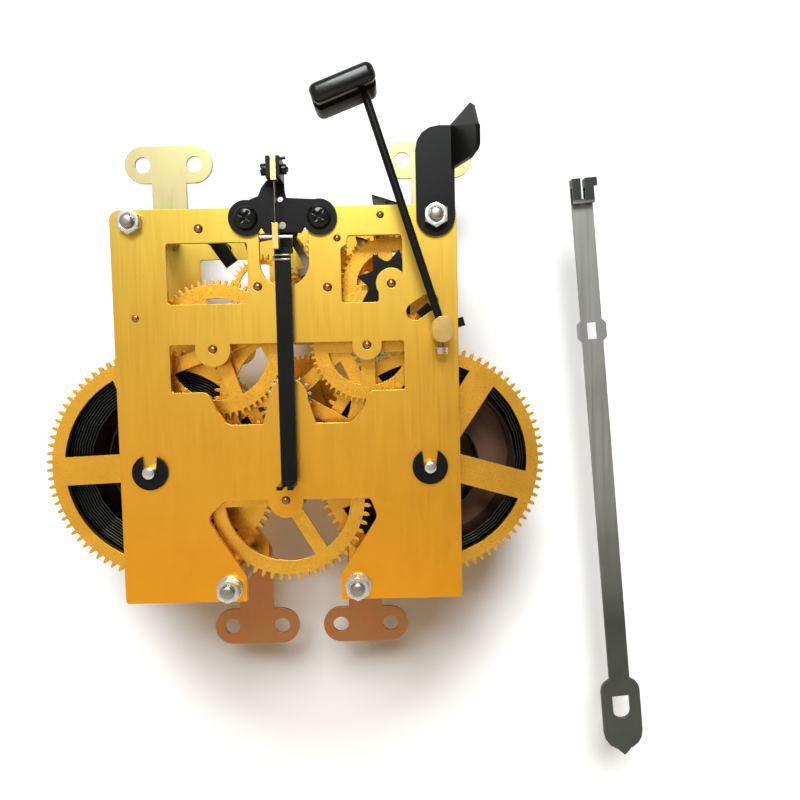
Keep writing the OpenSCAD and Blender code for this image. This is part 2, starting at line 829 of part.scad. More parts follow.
module click_springs() {
    color(steel) upright() for (s = [-1, 1]) {
        translate([click_spring_at(s).x, click_spring_at(s).y, click_low])
            cylinder(r = rivet_r, h = front_in - click_low);
        translate([winding_at(s).x, winding_at(s).y, click_low]) mirrored(s)
            linear_extrude(front_out - click_low) {
                translate(click_spring_foot) circle(2 * rivet_r);
                bar(click_spring_foot, click_spring_knee, wire_w);
                translate(click_spring_knee) circle(wire_w / 2);
                bar(click_spring_knee, click_spring_end, wire_w);
            }
    }
}

// Swinging end of the suspension
strip_t = 0.25;
strip_w = 3;
lower_block_h = 8.5;
lower_block_deep = 4.4;
pin_r = 0.6;
pin_l = 11;
strip_top = block_low - 0.1;
strip_low = strip_top - spring_free;

module suspension_spring() {
    color(steel) upright()
        translate([suspension_x - strip_t / 2, strip_low, back_out + suspension_off - strip_w / 2])
            cube([strip_t, spring_free, strip_w]);
}

module cross_pin(r) {
    translate([suspension_x, strip_low - lower_block_h / 2, back_out + suspension_off])
        rotate([0, 90, 0]) cylinder(r = r, h = pin_l, center = true);
}

module suspension_lower_block() {
    color(brass) upright() difference() {
        translate([
            suspension_x - block_w / 2, strip_low - lower_block_h,
            back_out + suspension_off - lower_block_deep / 2
        ])
            cube([block_w, lower_block_h, lower_block_deep]);
        cross_pin(pin_r);
    }
}

module suspension_pin() {
    color(steel) upright() cross_pin(pin_r);
}

// Pallets, their arbor and the crutch
pallet_clear = 1.1;
pallet_span = 42;
pallet_hub_r = 3.4;
pallet_arm = 4.5;
pallet_w = 2.6;
crutch_hub_r = 4;
crutch_bend_y = pallet_at.y - 9;
crutch_off = 3;
fork_w = 1.7;
fork_l = 7;
crutch_back = back_in - 0.8;

module pallet_arbor() {
    color(steel) upright() translate([pallet_at.x, pallet_at.y, 0]) {
        translate([0, 0, front_out]) cylinder(r = pivot_r, h = back_out + bracket_t - front_out);
        translate([0, 0, front_in + end_shake])
            cylinder(r = arbor_r, h = back_out - front_in - 2 * end_shake);
    }
}

module pallets() {
    d = heading(pallet_at - escape_at);
    tip_r = escape_r + pallet_clear;
    wheel_at = escape_at - pallet_at;
    color(steel) upright() on_arbor(pallet_at, escape_level + wheel_t) linear_extrude(wheel_t)
        difference() {
            union() {
                circle(pallet_hub_r);
                for (s = [-1, 1]) {
                    elbow = wheel_at + polar(tip_r + pallet_arm, d + s * pallet_span);
                    tip = wheel_at + polar(tip_r, d + s * pallet_span);
                    bar([0, 0], elbow, pallet_w);
                    translate(elbow) circle(pallet_w / 2);
                    bar(elbow, tip, pallet_w);
                }
            }
            circle(arbor_r);
        }
}

module crutch() {
    half = crutch_w / 2;
    low = pallet_at.y - crutch_l;
    front = back_out + crutch_off;
    color(black) upright() translate([pallet_at.x, 0, 0]) {
        translate([0, 0, crutch_back]) linear_extrude(crutch_t) difference() {
            union() {
                translate([0, pallet_at.y]) circle(crutch_hub_r);
                translate([-half, crutch_bend_y]) square([crutch_w, pallet_at.y - crutch_bend_y]);
            }
            translate([0, pallet_at.y]) circle(arbor_r);
        }
        translate([-half, crutch_bend_y, crutch_back])
            cube([crutch_w, crutch_t, front + crutch_t - crutch_back]);
        translate([-half, low, front]) cube([crutch_w, crutch_bend_y + crutch_t - low, crutch_t]);
        difference() {
            translate([-half, low, front]) cube([crutch_w, crutch_t, crutch_foot]);
            translate([-fork_w / 2, low - 1, front + crutch_foot - fork_l])
                cube([fork_w, crutch_t + 2, fork_l + 1]);
        }
    }
}

// Going barrels: great wheel, drum, mainspring and winding arbor
great_r = wheel_pitch(time_at, intermediate_at, great_teeth, great_pinion);
strike_great_r = wheel_pitch(strike_at, second_at, great_teeth, great_pinion);
great_spokes = 5;
great_hub_r = 9;
barrel_level = great_level + great_t;
barrel_floor = 1.4;

module great_wheel(place, rp, phase, turn) {
    on_arbor(place, barrel_level) linear_extrude(great_t) difference() {
        polygon(wheel_points(great_teeth, rp, phase));
        crossings(great_spokes, great_hub_r, great_rim_r, great_spoke, turn);
        circle(journal_r + running_gap);
    }
}

module barrel(place) {
    on_arbor(place, barrel_level + barrel_h) difference() {
        cylinder(r = barrel_r, h = barrel_h, $fn = 96);
        translate([0, 0, barrel_floor]) cylinder(r = barrel_r - barrel_wall, h = barrel_h, $fn = 96);
        translate([0, 0, -1]) cylinder(r = journal_r + running_gap, h = barrel_h);
    }
}

module winding_arbor(place) {
    square_top = click_low - end_shake;
    near = great_level - 0.3;
    far = barrel_level + barrel_h;
    translate([place.x, place.y, 0]) {
        translate([0, 0, back_in - near]) cylinder(d = winding_end_d, h = near + plate_t + clip_t + 1.6);
        translate([0, 0, back_in - near]) cylinder(r = winding_body_r, h = near - end_shake);
        translate([0, 0, back_in - far]) cylinder(r = journal_r, h = far - near);
        translate([0, 0, back_in - far + barrel_floor + end_shake])
            cylinder(r = core_r, h = barrel_h - barrel_floor - 2 * end_shake);
        translate([0, 0, front_in + end_shake])
            cylinder(r = winding_body_r, h = back_in - far - front_in - end_shake);
        translate([0, 0, square_top]) cylinder(r = ratchet_seat_r, h = front_in + end_shake - square_top);
        translate([0, 0, square_top - square_l]) linear_extrude(square_l) square(square_af, center = true);
    }
}

// Spiral of a mainspring: close outer loops, an open run, and loops round the arbor
spring_out_r = barrel_r - barrel_wall - 0.5;
spring_in_r = core_r + 0.6;
loop_steps = 24;
open_loops = 1.5;
function spring_radius(t, outer, inner) =
    let (outer_end = spring_out_r - outer * spring_pitch, inner_end = spring_in_r + inner * spring_pitch)
    t < outer ? spring_out_r - t * spring_pitch
    : t < outer + open_loops ? outer_end + (inner_end - outer_end) * (t - outer) / open_loops
    : inner_end - (t - outer - open_loops) * spring_pitch;
function spring_line(outer, inner, side) =
    let (loops = outer + open_loops + inner, n = ceil(loops * loop_steps))
    [for (i = [0:n]) let (t = loops * i / n) polar(spring_radius(t, outer, inner) + side, 360 * t)];

// Least gap between neighbouring loops, measured on the points
function least_gap(pts) =
    let (n = len(pts))
    min([for (i = [0:n - 1 - loop_steps / 2], j = [i + loop_steps / 2:min(n - 1, i + loop_steps * 2)])
        norm(pts[i] - pts[j])]) - spring_t;

module mainspring(place, outer, inner) {
    face = spring_line(outer, inner, spring_t / 2);
    back = spring_line(outer, inner, -spring_t / 2);
    on_arbor(place, barrel_level + barrel_h - barrel_floor - end_shake) linear_extrude(spring_h)
        polygon(concat(face, [for (i = [len(back) - 1:-1:0]) back[i]]));
}

module arbor_clip(place) {
    translate([place.x, place.y, back_out + rest_gap]) linear_extrude(clip_t) difference() {
        circle(d = clip_d);
        circle(d = winding_end_d);
        polygon([
            [-winding_end_d / 2, 0], [winding_end_d / 2, 0], [clip_mouth / 2, clip_d / 2],
            [clip_mouth / 2, clip_d], [-clip_mouth / 2, clip_d], [-clip_mouth / 2, clip_d / 2]
        ]);
    }
}

module ratchet(place, s) {
    pitch = 360 / ratchet_teeth;
    translate([place.x, place.y, click_low]) mirrored(s) linear_extrude(ratchet_t) difference() {
        polygon([
            for (i = [0:ratchet_teeth - 1]) each [
                polar(ratchet_r, i * pitch), polar(ratchet_r - 2, i * pitch + pitch * 0.06),
                polar(ratchet_r - 1.4, i * pitch + pitch * 0.5)
            ]
        ]);
        circle(ratchet_seat_r);
    }
}

time_phase = 1;
strike_phase = 2;
time_spokes = 38;
strike_spokes = -16;
time_outer_loops = 9;
time_inner_loops = 2;
strike_outer_loops = 4;
strike_inner_loops = 6;
echo(time_mainspring_gap = least_gap(spring_line(time_outer_loops, time_inner_loops, 0)));
echo(strike_mainspring_gap = least_gap(spring_line(strike_outer_loops, strike_inner_loops, 0)));

module time_great_wheel() {
    color(brass) upright() great_wheel(time_at, great_r, time_phase, time_spokes);
}

module time_barrel() {
    color(black) upright() barrel(time_at);
}

module time_mainspring() {
    color(grey_steel) upright() mainspring(time_at, time_outer_loops, time_inner_loops);
}

module time_winding_arbor() {
    color(steel) upright() winding_arbor(time_at);
}

module time_arbor_clip() {
    color(black) upright() arbor_clip(time_at);
}

module time_ratchet() {
    color(steel) upright() ratchet(time_at, -1);
}

module time_click() {
    color(steel) upright() click(-1);
}

// Time train
intermediate_r = wheel_pitch(intermediate_at, hand_at, intermediate_teeth, centre_pinion);
centre_r_pitch = wheel_pitch(hand_at, third_at, centre_teeth, third_pinion);
third_r = wheel_pitch(third_at, escape_at, third_teeth, escape_pinion);

intermediate_spokes = 3;
intermediate_turn = -59;

module intermediate_wheel() {
    color(brass) upright()
        train_wheel(intermediate_at, intermediate_level, intermediate_teeth, intermediate_r, 0,
            intermediate_spokes, intermediate_turn, arbor_r);
}

module intermediate_arbor() {
    color(steel) upright() {
        train_arbor(intermediate_at);
        pinion(intermediate_at, great_pinion_level, great_pinion_h, great_pinion,
            pinion_pitch(time_at, intermediate_at, great_teeth, great_pinion),
            mesh(time_at, intermediate_at, great_teeth, great_pinion, time_phase));
    }
}

module centre_wheel() {
    color(brass) upright()
        train_wheel(hand_at, centre_level, centre_teeth, centre_r_pitch, 0, 5, -30, centre_r, 4.4);
}

// Levels of the motion work on the dial side
cannon_high = front_out - 0.4;
cannon_h = 3.2;
minute_wheel_high = cannon_high - 0.6;
motion_t = 1.4;
minute_pinion_low = minute_wheel_high - motion_t - pinion_h;
hour_high = cannon_high - cannon_h - 0.4;
hour_low = hour_high - motion_t;
hour_pipe_low = hour_low - hour_pipe_l;
minute_pipe_low = hour_pipe_low - minute_pipe_l;
hand_tip_low = minute_pipe_low - hand_tip_l;

module centre_arbor() {
    color(steel) upright() {
        translate([0, 0, front_in]) cylinder(r = pivot_r, h = back_out - front_in);
        translate([0, 0, front_in + end_shake]) cylinder(r = centre_r, h = plate_gap - 2 * end_shake);
        translate([0, 0, cannon_high]) cylinder(r = centre_front_r, h = front_in + end_shake - cannon_high);
        translate([0, 0, hand_tip_low]) cylinder(r = cannon_seat_r, h = cannon_high - hand_tip_low);
        pinion(hand_at, centre_pinion_level, pinion_h, centre_pinion,
            pinion_pitch(intermediate_at, hand_at, intermediate_teeth, centre_pinion),
            mesh(intermediate_at, hand_at, intermediate_teeth, centre_pinion, 0));
    }
}

module cannon_pinion() {
    color(steel) upright() difference() {
        union() {
            translate([0, 0, hour_pipe_low - end_shake])
                cylinder(r = cannon_pipe_r, h = cannon_high - hour_pipe_low + end_shake);
            translate([0, 0, minute_pipe_low]) cylinder(d = minute_pipe_d, h = cannon_high - minute_pipe_low);
            translate([0, 0, cannon_high - cannon_h]) linear_extrude(cannon_h)
                polygon(pinion_points(cannon_leaves,
                    pinion_pitch(minute_at, hand_at, minute_teeth, cannon_leaves),
                    mesh(minute_at, hand_at, minute_teeth, cannon_leaves, 0)));
        }
        translate([0, 0, minute_pipe_low - 1])
            cylinder(r = cannon_seat_r, h = cannon_high - minute_pipe_low + 2);
    }
}

module minute_wheel() {
    color(brass) upright() translate([minute_at.x, minute_at.y, 0]) {
        translate([0, 0, minute_wheel_high - motion_t])
            toothed_disc(minute_teeth, wheel_pitch(minute_at, hand_at, minute_teeth, cannon_leaves),
                motion_t, 0, stud_post_r + running_gap);
        translate([0, 0, minute_pinion_low]) linear_extrude(pinion_h) difference() {
            polygon(pinion_points(minute_leaves,
                pinion_pitch(hand_at, minute_at, hour_teeth, minute_leaves),
                mesh(hand_at, minute_at, hour_teeth, minute_leaves, 0)));
            circle(stud_post_r + running_gap);
        }
    }
}

hour_r = wheel_pitch(hand_at, minute_at, hour_teeth, minute_leaves);

module hour_wheel() {
    bore = cannon_pipe_r + running_gap;
    color(brass) upright() {
        translate([0, 0, hour_low])
            toothed_disc(hour_teeth, hour_r, motion_t, 0, bore);
        translate([0, 0, hour_pipe_low]) tube(hour_pipe_d / 2, bore, hour_pipe_l);
    }
}

module third_wheel() {
    color(brass) upright() train_wheel(third_at, third_level, third_teeth, third_r, 0, 4, 20, arbor_r);
}

module third_arbor() {
    color(steel) upright() {
        train_arbor(third_at);
        pinion(third_at, third_pinion_level, pinion_h, third_pinion,
            pinion_pitch(hand_at, third_at, centre_teeth, third_pinion),
            mesh(hand_at, third_at, centre_teeth, third_pinion, 0));
    }
}

module escape_wheel() {
    pitch = 360 / escape_teeth;
    color(brass) upright() on_arbor(escape_at, escape_level + wheel_t) {
        linear_extrude(wheel_t) difference() {
            polygon([
                for (i = [0:escape_teeth - 1]) each [
                    polar(escape_r, i * pitch), polar(escape_r - 2.2, i * pitch + pitch * 0.3),
                    polar(escape_r - 2.2, i * pitch + pitch * 0.75)
                ]
            ]);
            crossings(4, hub_r + 0.6, escape_r - 3.8, 2.4, 20);
            circle(arbor_r);
        }
        translate([0, 0, -hub_h]) tube(hub_r, arbor_r, hub_h);
    }
}

module escape_arbor() {
    color(steel) upright() {
        train_arbor(escape_at);
        pinion(escape_at, small_pinion_level, pinion_h, escape_pinion,
            pinion_pitch(third_at, escape_at, third_teeth, escape_pinion),
            mesh(third_at, escape_at, third_teeth, escape_pinion, 0));
    }
}

// Strike train
second_r = wheel_pitch(second_at, star_at, second_teeth, star_pinion);
star_wheel_r = wheel_pitch(star_at, warning_at, star_teeth, warning_pinion);
warning_r = wheel_pitch(warning_at, fourth_at, warning_teeth, fly_pinion);
fourth_r = wheel_pitch(fourth_at, fly_at, fourth_teeth, fly_pinion);

module strike_great_wheel() {
    color(brass) upright() great_wheel(strike_at, strike_great_r, strike_phase, strike_spokes);
}

module strike_barrel() {
    color(black) upright() barrel(strike_at);
}

module strike_mainspring() {
    color(grey_steel) upright() mainspring(strike_at, strike_outer_loops, strike_inner_loops);
}

module strike_winding_arbor() {
    color(steel) upright() winding_arbor(strike_at);
}

module strike_arbor_clip() {
    color(black) upright() arbor_clip(strike_at);
}

module strike_ratchet() {
    color(steel) upright() ratchet(strike_at, 1);
}

module strike_click() {
    color(steel) upright() click(1);
}

module strike_second_wheel() {
    color(brass) upright() train_wheel(second_at, second_level, second_teeth, second_r, 0, 4, 0, arbor_r);
}

module strike_second_arbor() {
    color(steel) upright() {
        train_arbor(second_at);
        pinion(second_at, great_pinion_level, great_pinion_h, great_pinion,
            pinion_pitch(strike_at, second_at, great_teeth, great_pinion),
            mesh(strike_at, second_at, great_teeth, great_pinion, strike_phase));
    }
}

star_wheel_turn = 10;

module strike_third_wheel() {
    color(brass) upright()
        train_wheel(star_at, star_wheel_level, star_teeth, star_wheel_r, 0, 4, star_wheel_turn, arbor_r);
}

module strike_third_arbor() {
    color(steel) upright() {
        train_arbor(star_at);
        pinion(star_at, small_pinion_level, pinion_h, star_pinion,
            pinion_pitch(second_at, star_at, second_teeth, star_pinion),
            mesh(second_at, star_at, second_teeth, star_pinion, 0));
    }
}

star_hollow = 0.35;
star_turn = 76;

module hammer_star() {
    pitch = 360 / star_points;
    color(black) upright() on_arbor(star_at, star_level + wheel_t) linear_extrude(wheel_t) difference() {
        polygon([
            for (i = [0:star_points - 1], k = [0:5]) let (u = k / 6)
                polar(star_r * (1 - star_hollow * sin(180 * u)), star_turn + (i + u) * pitch)
        ]);
        circle(arbor_r);
    }
}

warning_turn = 30;
fourth_turn = 50;
small_hub_r = hub_r - 0.4;

module warning_wheel() {
    color(brass) upright()
        train_wheel(warning_at, warning_level, warning_teeth, warning_r, 0, 4, warning_turn,
            arbor_r, small_hub_r);
}

module warning_arbor() {
    color(steel) upright() {
        train_arbor(warning_at);
        pinion(warning_at, warning_pinion_level, pinion_h, warning_pinion,
            pinion_pitch(star_at, warning_at, star_teeth, warning_pinion),
            mesh(star_at, warning_at, star_teeth, warning_pinion, 0));
    }
}

module strike_fourth_wheel() {
    color(brass) upright()
        train_wheel(fourth_at, fourth_level, fourth_teeth, fourth_r, 0, 4, fourth_turn,
            small_arbor_r, small_hub_r);
}

// Slimmer arbors for the smallest pinions
small_arbor_r = 1.2;

module strike_fourth_arbor() {
    color(steel) upright() {
        train_arbor(fourth_at, small_arbor_r, small_pivot_r);
        pinion(fourth_at, fourth_pinion_level, pinion_h, fly_pinion,
            pinion_pitch(warning_at, fourth_at, warning_teeth, fly_pinion),
            mesh(warning_at, fourth_at, warning_teeth, fly_pinion, 0));
    }
}

module fly_arbor() {
    color(steel) upright() {
        train_arbor(fly_at, small_arbor_r, small_pivot_r);
        pinion(fly_at, fly_pinion_level, pinion_h, fly_pinion,
            pinion_pitch(fourth_at, fly_at, fourth_teeth, fly_pinion),
            mesh(fourth_at, fly_at, fourth_teeth, fly_pinion, 0));
    }
}

// Fly: a sheet bent twice, clipped round its arbor
fly_h = 16;
fly_t = 0.6;
fly_off = 8;
fly_flange = 13;
fly_shift = 0.7;
fly_turn = -18;

module fly() {
    color(black) upright() on_arbor(fly_at, fly_level + fly_h) rotate(fly_turn) linear_extrude(fly_h)
        difference() {
            union() {
                circle(2.4);
                square([fly_t, 2 * fly_off], center = true);
                for (s = [-1, 1]) translate([s * fly_shift, s * fly_off])
                    square([fly_flange, fly_t], center = true);
            }
            circle(small_arbor_r);
        }
}

// Hammer
collet_near = rod_off + 3.6;
collet_far = 1.2;
collet_rise = 0.3;
collet_drop = 1.8;
arbor_end = rod_off - rod_d / 2 - 0.6;

module hammer_arbor() {
    color(steel) upright() translate([hammer_at.x, hammer_at.y, 0]) {
        translate([0, 0, front_out]) cylinder(r = pivot_r, h = back_in - front_out);
        translate([0, 0, front_in + end_shake])
            cylinder(r = hammer_arbor_r, h = back_out + arbor_end - front_in - end_shake);
    }
}

module hammer_tail() {
    color(black) upright() on_arbor(hammer_at, star_level + wheel_t) linear_extrude(wheel_t) difference() {
        union() {
            circle(4);
            rotate(tail_angle) translate([0, -2.6]) square([tail_reach, 5.2]);
            rotate(16) translate([0, -1.6]) square([9, 3.2]);
        }
        circle(hammer_arbor_r);
    }
}

module along_rod() {
    translate([hammer_at.x, hammer_at.y, back_out + rod_off]) rotate([0, 0, rod_lean]) rotate([-90, 0, 0])
        children();
}

module hammer_collet() {
    half = collet_d / 2;
    collet_round = half * 0.98;
    collet_low = half + collet_drop;
    collet_top = half + collet_rise;
    color(brass) upright() difference() {
        union() {
            translate([hammer_at.x, hammer_at.y, back_out + collet_far])
                linear_extrude(collet_near - collet_far) polygon(rounded([
                    [-half, -collet_low, collet_round], [half, -collet_low, collet_round],
                    [half, collet_top, collet_round], [-half, collet_top, collet_round]
                ]));
            translate([hammer_at.x, hammer_at.y, back_out + collet_far + 3]) rotate([90, 0, 0]) {
                cylinder(r = 1.1, h = collet_low + 3.4);
                translate([0, 0, collet_low + 1.7]) cylinder(r = 2.2, h = 2.2);
            }
        }
        translate([hammer_at.x, hammer_at.y, back_out]) cylinder(r = hammer_arbor_r, h = arbor_end);
        along_rod() translate([0, 0, -collet_d]) cylinder(d = rod_d, h = 2 * collet_d);
    }
}

module hammer_rod() {
    color(black) upright() along_rod() translate([0, 0, -collet_d / 2])
        cylinder(d = rod_d, h = collet_d / 2 + rod_l + rod_socket);
}

// Hammer head: a near and a far lobe joined by a narrower waist, its far lobe pressed on the rod's end
head_turn = 3.5;
head_corner = 2.6;
head_groove = 2;
groove_deep = 0.8;
near_lobe = 5;
head_near = 3;
rod_socket = 2.2;

module head_outline(shrink) {
    polygon(rounded([
        for (p = [[-1, 0], [1, 0], [1, 1], [-1, 1]])
            [
                p.x * (head_l / 2 - shrink) - head_offset, shrink + p.y * (head_h - 2 * shrink),
                head_corner - shrink / 2
            ]
    ]));
}

module hammer_head() {
    far_lobe = head_deep - head_groove - near_lobe;
    color(black) upright() along_rod() difference() {
        translate([0, -head_near, rod_l]) rotate([90, 0, 0]) rotate(head_turn) {
            translate([0, 0, head_groove / 2]) linear_extrude(near_lobe) head_outline(0);
            translate([0, 0, -head_groove / 2]) linear_extrude(head_groove) head_outline(groove_deep);
            translate([0, 0, -head_groove / 2 - far_lobe]) linear_extrude(far_lobe) head_outline(0);
        }
        cylinder(d = rod_d, h = rod_l + rod_socket);
    }
}

// Strike lever: a short tail that hangs into the upper left window, and an arm behind the plate's top
lever_tail = [11.5, 5.2];
lever_tail_turn = -56;
lever_arm = [12, 3.2];
lever_arm_turn = 165;

module strike_lever() {
    color(black) upright() {
        train_arbor(lever_at);
        on_arbor(lever_at, lever_level + 1.6) linear_extrude(1.6) {
            circle(3);
            rotate(lever_tail_turn) translate([0, -lever_tail.y / 2]) square(lever_tail);
            rotate(lever_arm_turn) translate([0, -lever_arm.y / 2]) square(lever_arm);
        }
    }
}

// Pendulum leader, lying apart beside the movement
leader_top = [115, 84];
leader_lean = 4.2;
hook_l = 10;
hook_w = 8.7;
hook_top = 3.4;
hook_gap = 2.4;
hook_slot = 1.8;
hook_lug = 1.4;
hook_slot_end = 1.6;
eyelet_at = 61.7;
eyelet_w = 12;
eyelet_h = 12.6;
eyelet_cut = 3.4;
eyelet_slot = [3.9, 6.8];
bob_eye_w = 16.6;
bob_eye_h = 31.4;
bob_window = [7.2, 9.7];
bob_window_up = 14;
bob_shoulder = 5.4;
bob_chin = 8;
leader_tip = 2.4;
tip_half = 2.6;

// Outline of a w by h plate with its corners cut off
function cut_corners(w, h, top, low) = [
    [-w / 2, low], [-w / 2 + low, 0], [w / 2 - low, 0], [w / 2, low],
    [w / 2, h - top], [w / 2 - top, h], [-w / 2 + top, h], [-w / 2, h - top]
];

module leader_2d() {
    bob_low = leader_tip - leader_l;
    difference() {
        union() {
            translate([-leader_w / 2, bob_low + bob_eye_h / 2])
                square([leader_w, leader_l - leader_tip - bob_eye_h / 2]);
            translate([0, -eyelet_at - eyelet_h / 2])
                polygon(cut_corners(eyelet_w, eyelet_h, eyelet_cut, eyelet_cut));
            translate([0, bob_low]) polygon(rounded([
                [-bob_eye_w / 2, 0, bob_chin], [bob_eye_w / 2, 0, bob_chin],
                [bob_eye_w / 2, bob_eye_h, bob_shoulder], [-bob_eye_w / 2, bob_eye_h, bob_shoulder]
            ]));
            polygon([
                [-tip_half, bob_low + tip_half], [tip_half, bob_low + tip_half], [tip_half, bob_low],
                [0, -leader_l], [-tip_half, bob_low]
            ]);
        }
        translate([-eyelet_slot.x / 2, -eyelet_at - eyelet_slot.y / 2]) square(eyelet_slot);
        translate([-bob_window.x / 2, bob_low + bob_window_up]) polygon(rounded([
            [0, 0, bob_window.x * 0.45], [bob_window.x, 0, bob_window.x * 0.45],
            [bob_window.x, bob_window.y, 0], [0, bob_window.y, 0]
        ]));
    }
}

// The leader's top is folded over into a hook, with a slot for the suspension spring
module pendulum_leader() {
    front = leader_t + hook_gap;
    color(grey_steel) upright() translate([leader_top.x, leader_top.y, 0]) rotate(leader_lean) difference() {
        union() {
            linear_extrude(leader_t) leader_2d();
            translate([-hook_w / 2, -hook_top, 0]) cube([hook_w, hook_top, front + leader_t]);
            translate([-hook_w / 2, -hook_l, front]) cube([hook_w, hook_l, leader_t]);
            translate([hook_w / 2, -hook_top, front]) cube([hook_lug, hook_top, leader_t]);
        }
        translate([-hook_slot / 2, -hook_l + hook_slot_end, -1])
            cube([hook_slot, hook_l, front + leader_t + 2]);
    }
}

back_plate();
front_plate();
pillars();
pillar_nuts();
mounting_feet();
riveted_posts();
suspension_bracket();
suspension_top_block();
plate_screws();
hammer_backstop();
click_springs();
suspension_spring();
suspension_lower_block();
suspension_pin();
pallet_arbor();
pallets();
crutch();
time_great_wheel();
time_barrel();
time_mainspring();
time_winding_arbor();
time_arbor_clip();
time_ratchet();
time_click();
intermediate_wheel();
intermediate_arbor();
centre_wheel();
centre_arbor();
cannon_pinion();
third_wheel();
third_arbor();
escape_wheel();
escape_arbor();
minute_wheel();
hour_wheel();
strike_great_wheel();
strike_barrel();
strike_mainspring();
strike_winding_arbor();
strike_arbor_clip();
strike_ratchet();
strike_click();
strike_second_wheel();
strike_second_arbor();
strike_third_wheel();
strike_third_arbor();
hammer_star();
warning_wheel();
warning_arbor();
strike_fourth_wheel();
strike_fourth_arbor();
fly();
fly_arbor();
hammer_arbor();
hammer_tail();
hammer_collet();
hammer_rod();
hammer_head();
strike_lever();
pendulum_leader();
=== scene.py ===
"""Looks of a striking pendulum clock movement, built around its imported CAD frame.

Bench words: the plates stand upright, the back plate faces -Y, the arbors lie along Y.
Lengths are in metres.
"""

import json
import math

import bpy
from bpy.props import FloatProperty, FloatVectorProperty, PointerProperty
from mathutils import Matrix, Vector


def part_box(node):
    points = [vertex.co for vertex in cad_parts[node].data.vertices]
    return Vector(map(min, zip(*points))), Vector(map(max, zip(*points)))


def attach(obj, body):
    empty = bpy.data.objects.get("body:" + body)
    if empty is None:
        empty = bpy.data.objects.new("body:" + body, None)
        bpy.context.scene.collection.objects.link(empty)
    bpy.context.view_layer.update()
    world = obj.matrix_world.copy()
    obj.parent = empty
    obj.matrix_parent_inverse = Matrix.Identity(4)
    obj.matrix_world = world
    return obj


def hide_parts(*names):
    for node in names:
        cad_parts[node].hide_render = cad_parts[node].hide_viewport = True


bl_info = {
    "name": "Clock movement looks",
    "version": (1, 0, 0),
    "blender": (4, 5, 0),
    "location": "View3D > Sidebar > Movement",
    "description": "Finishes, fasteners and stage of a striking pendulum clock movement",
    "category": "Object",
}

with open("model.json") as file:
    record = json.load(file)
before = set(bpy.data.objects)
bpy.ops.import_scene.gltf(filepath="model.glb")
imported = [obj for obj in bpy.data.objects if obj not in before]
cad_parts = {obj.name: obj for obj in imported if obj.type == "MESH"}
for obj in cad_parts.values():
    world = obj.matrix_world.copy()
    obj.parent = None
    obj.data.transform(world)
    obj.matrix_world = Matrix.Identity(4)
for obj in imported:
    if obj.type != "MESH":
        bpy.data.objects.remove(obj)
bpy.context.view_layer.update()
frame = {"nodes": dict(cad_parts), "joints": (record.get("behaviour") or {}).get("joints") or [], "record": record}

# Outer face of the back plate, and the board that the feet lie on
PLATE_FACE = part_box("back_plate")[0].y
BOARD_FACE = 0.0

# Axis of each moving body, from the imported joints
AXIS = {joint["child"]: Vector(joint.get("pos_m", (0, 0, 0))) for joint in frame["joints"]}
PIVOTS = (
    "intermediate", "third", "escape", "strike_second", "strike_third", "warning", "strike_lever",
)
SMALL_PIVOTS = ("strike_fourth", "fly")
WINDING = ("time_winding", "strike_winding")
CLICKS = ("time_click", "strike_click")

# Fixed places on the plates, as x and z
POST = (-0.0524, 0.0289)
PILLARS = ((-0.0528, 0.0618), (0.0528, 0.0618), (-0.0229, -0.0676), (0.0229, -0.0676))
BRACKET_SCREWS = ((-0.0126, 0.0624), (0.0126, 0.0624))

# What each pillar's nut stands on, above the back plate: nothing, the backstop, two washers
UNDER_NUT = (0.0, 0.0016, 0.0008, 0.0008)
BRACKET_T = 0.0016

# Ways out of the movement
OUT_BACK = Vector((0, -1, 0))
OUT_DIAL = Vector((0, 1, 0))
DOWN = Vector((0, 0, -1))
RIGHT = Vector((1, 0, 0))

# How far a modelled skin stands outside the CAD bar under it
SKIN = 0.00003

# Colours that shears, cutters and rubbing leave on edges
SHEARED_BRASS = (0.95, 0.70, 0.24)
CUT_BRASS = (0.95, 0.72, 0.28)
BRASS_EDGE = (0.95, 0.76, 0.40)
STEEL_EDGE = (0.82, 0.81, 0.78)
STUD_EDGE = (0.55, 0.52, 0.47)
# The pivots' edge colour carries the same painted reddish reflection of the brass
PIVOT_EDGE = (0.62, 0.36, 0.24)
RUBBED_BLACK = (0.05, 0.05, 0.047)
RUBBED_ZINC = (0.75, 0.72, 0.55)
RUBBED_STRIP = (0.42, 0.44, 0.43)

# Pink and brown bloom of the zinc, on the lower and the upper feet; the lower one is darker as painted shade
BLOOM_SHADED_LOW = (0.36, 0.20, 0.07)
BLOOM_TOP = (0.44, 0.34, 0.20)

# Heights between which a finish changes, lower end first
# Painted light: the plate brass runs from a shaded orange foot to a lit yellow top
PLATE_SHADE_FADE = (-0.072, 0.060)
FEET_SHADE_FADE = (-0.06, 0.05)
# Painted shade: the leader's steel darkens over its upper part
LEADER_TOP_SHADE = (-0.02, 0.06)
LEADER_DARKENS = (-0.10, -0.03)
LEADER_BLUES = (0.0735, 0.0755)

# Floor of a barrel: its thickness, and how far in front of it black turns brown
BARREL_FLOOR_T = 0.0014
FLOOR_FADE = (0.0006, 0.0002)

# Shine of the hammer head's far lobe, and half the depth over which it dulls
DULL_SHINE = 0.03
DULL_FADE = 0.001

# Backdrop: a sheet that runs over a floor, through a cove and up a wall
SHEET_X = 0.03
SHEET_W = 8.0
WALL_H = 1.7
COVE_R = 0.03

# Painted light: the paper glows for the camera, whiter away from the movement, so that shadows there are washed
# out
# The paper's glow: the middle of the shadow, which is taller than wide, and the distances
# from it at which the glow begins, ends and begins again far from the movement
SHADOW_Z = -0.06
SHADOW_SQUEEZE = (1.25, 1, 1)
GLOW_RISES = (0.10, 0.14)
GLOW_FADES = (0.30, 0.42)
FAR_GLOW_RISES = (0.42, 0.95)
FAR_GLOW = 0.9
GLOW_TINT = (0.82, 0.92, 1.0)

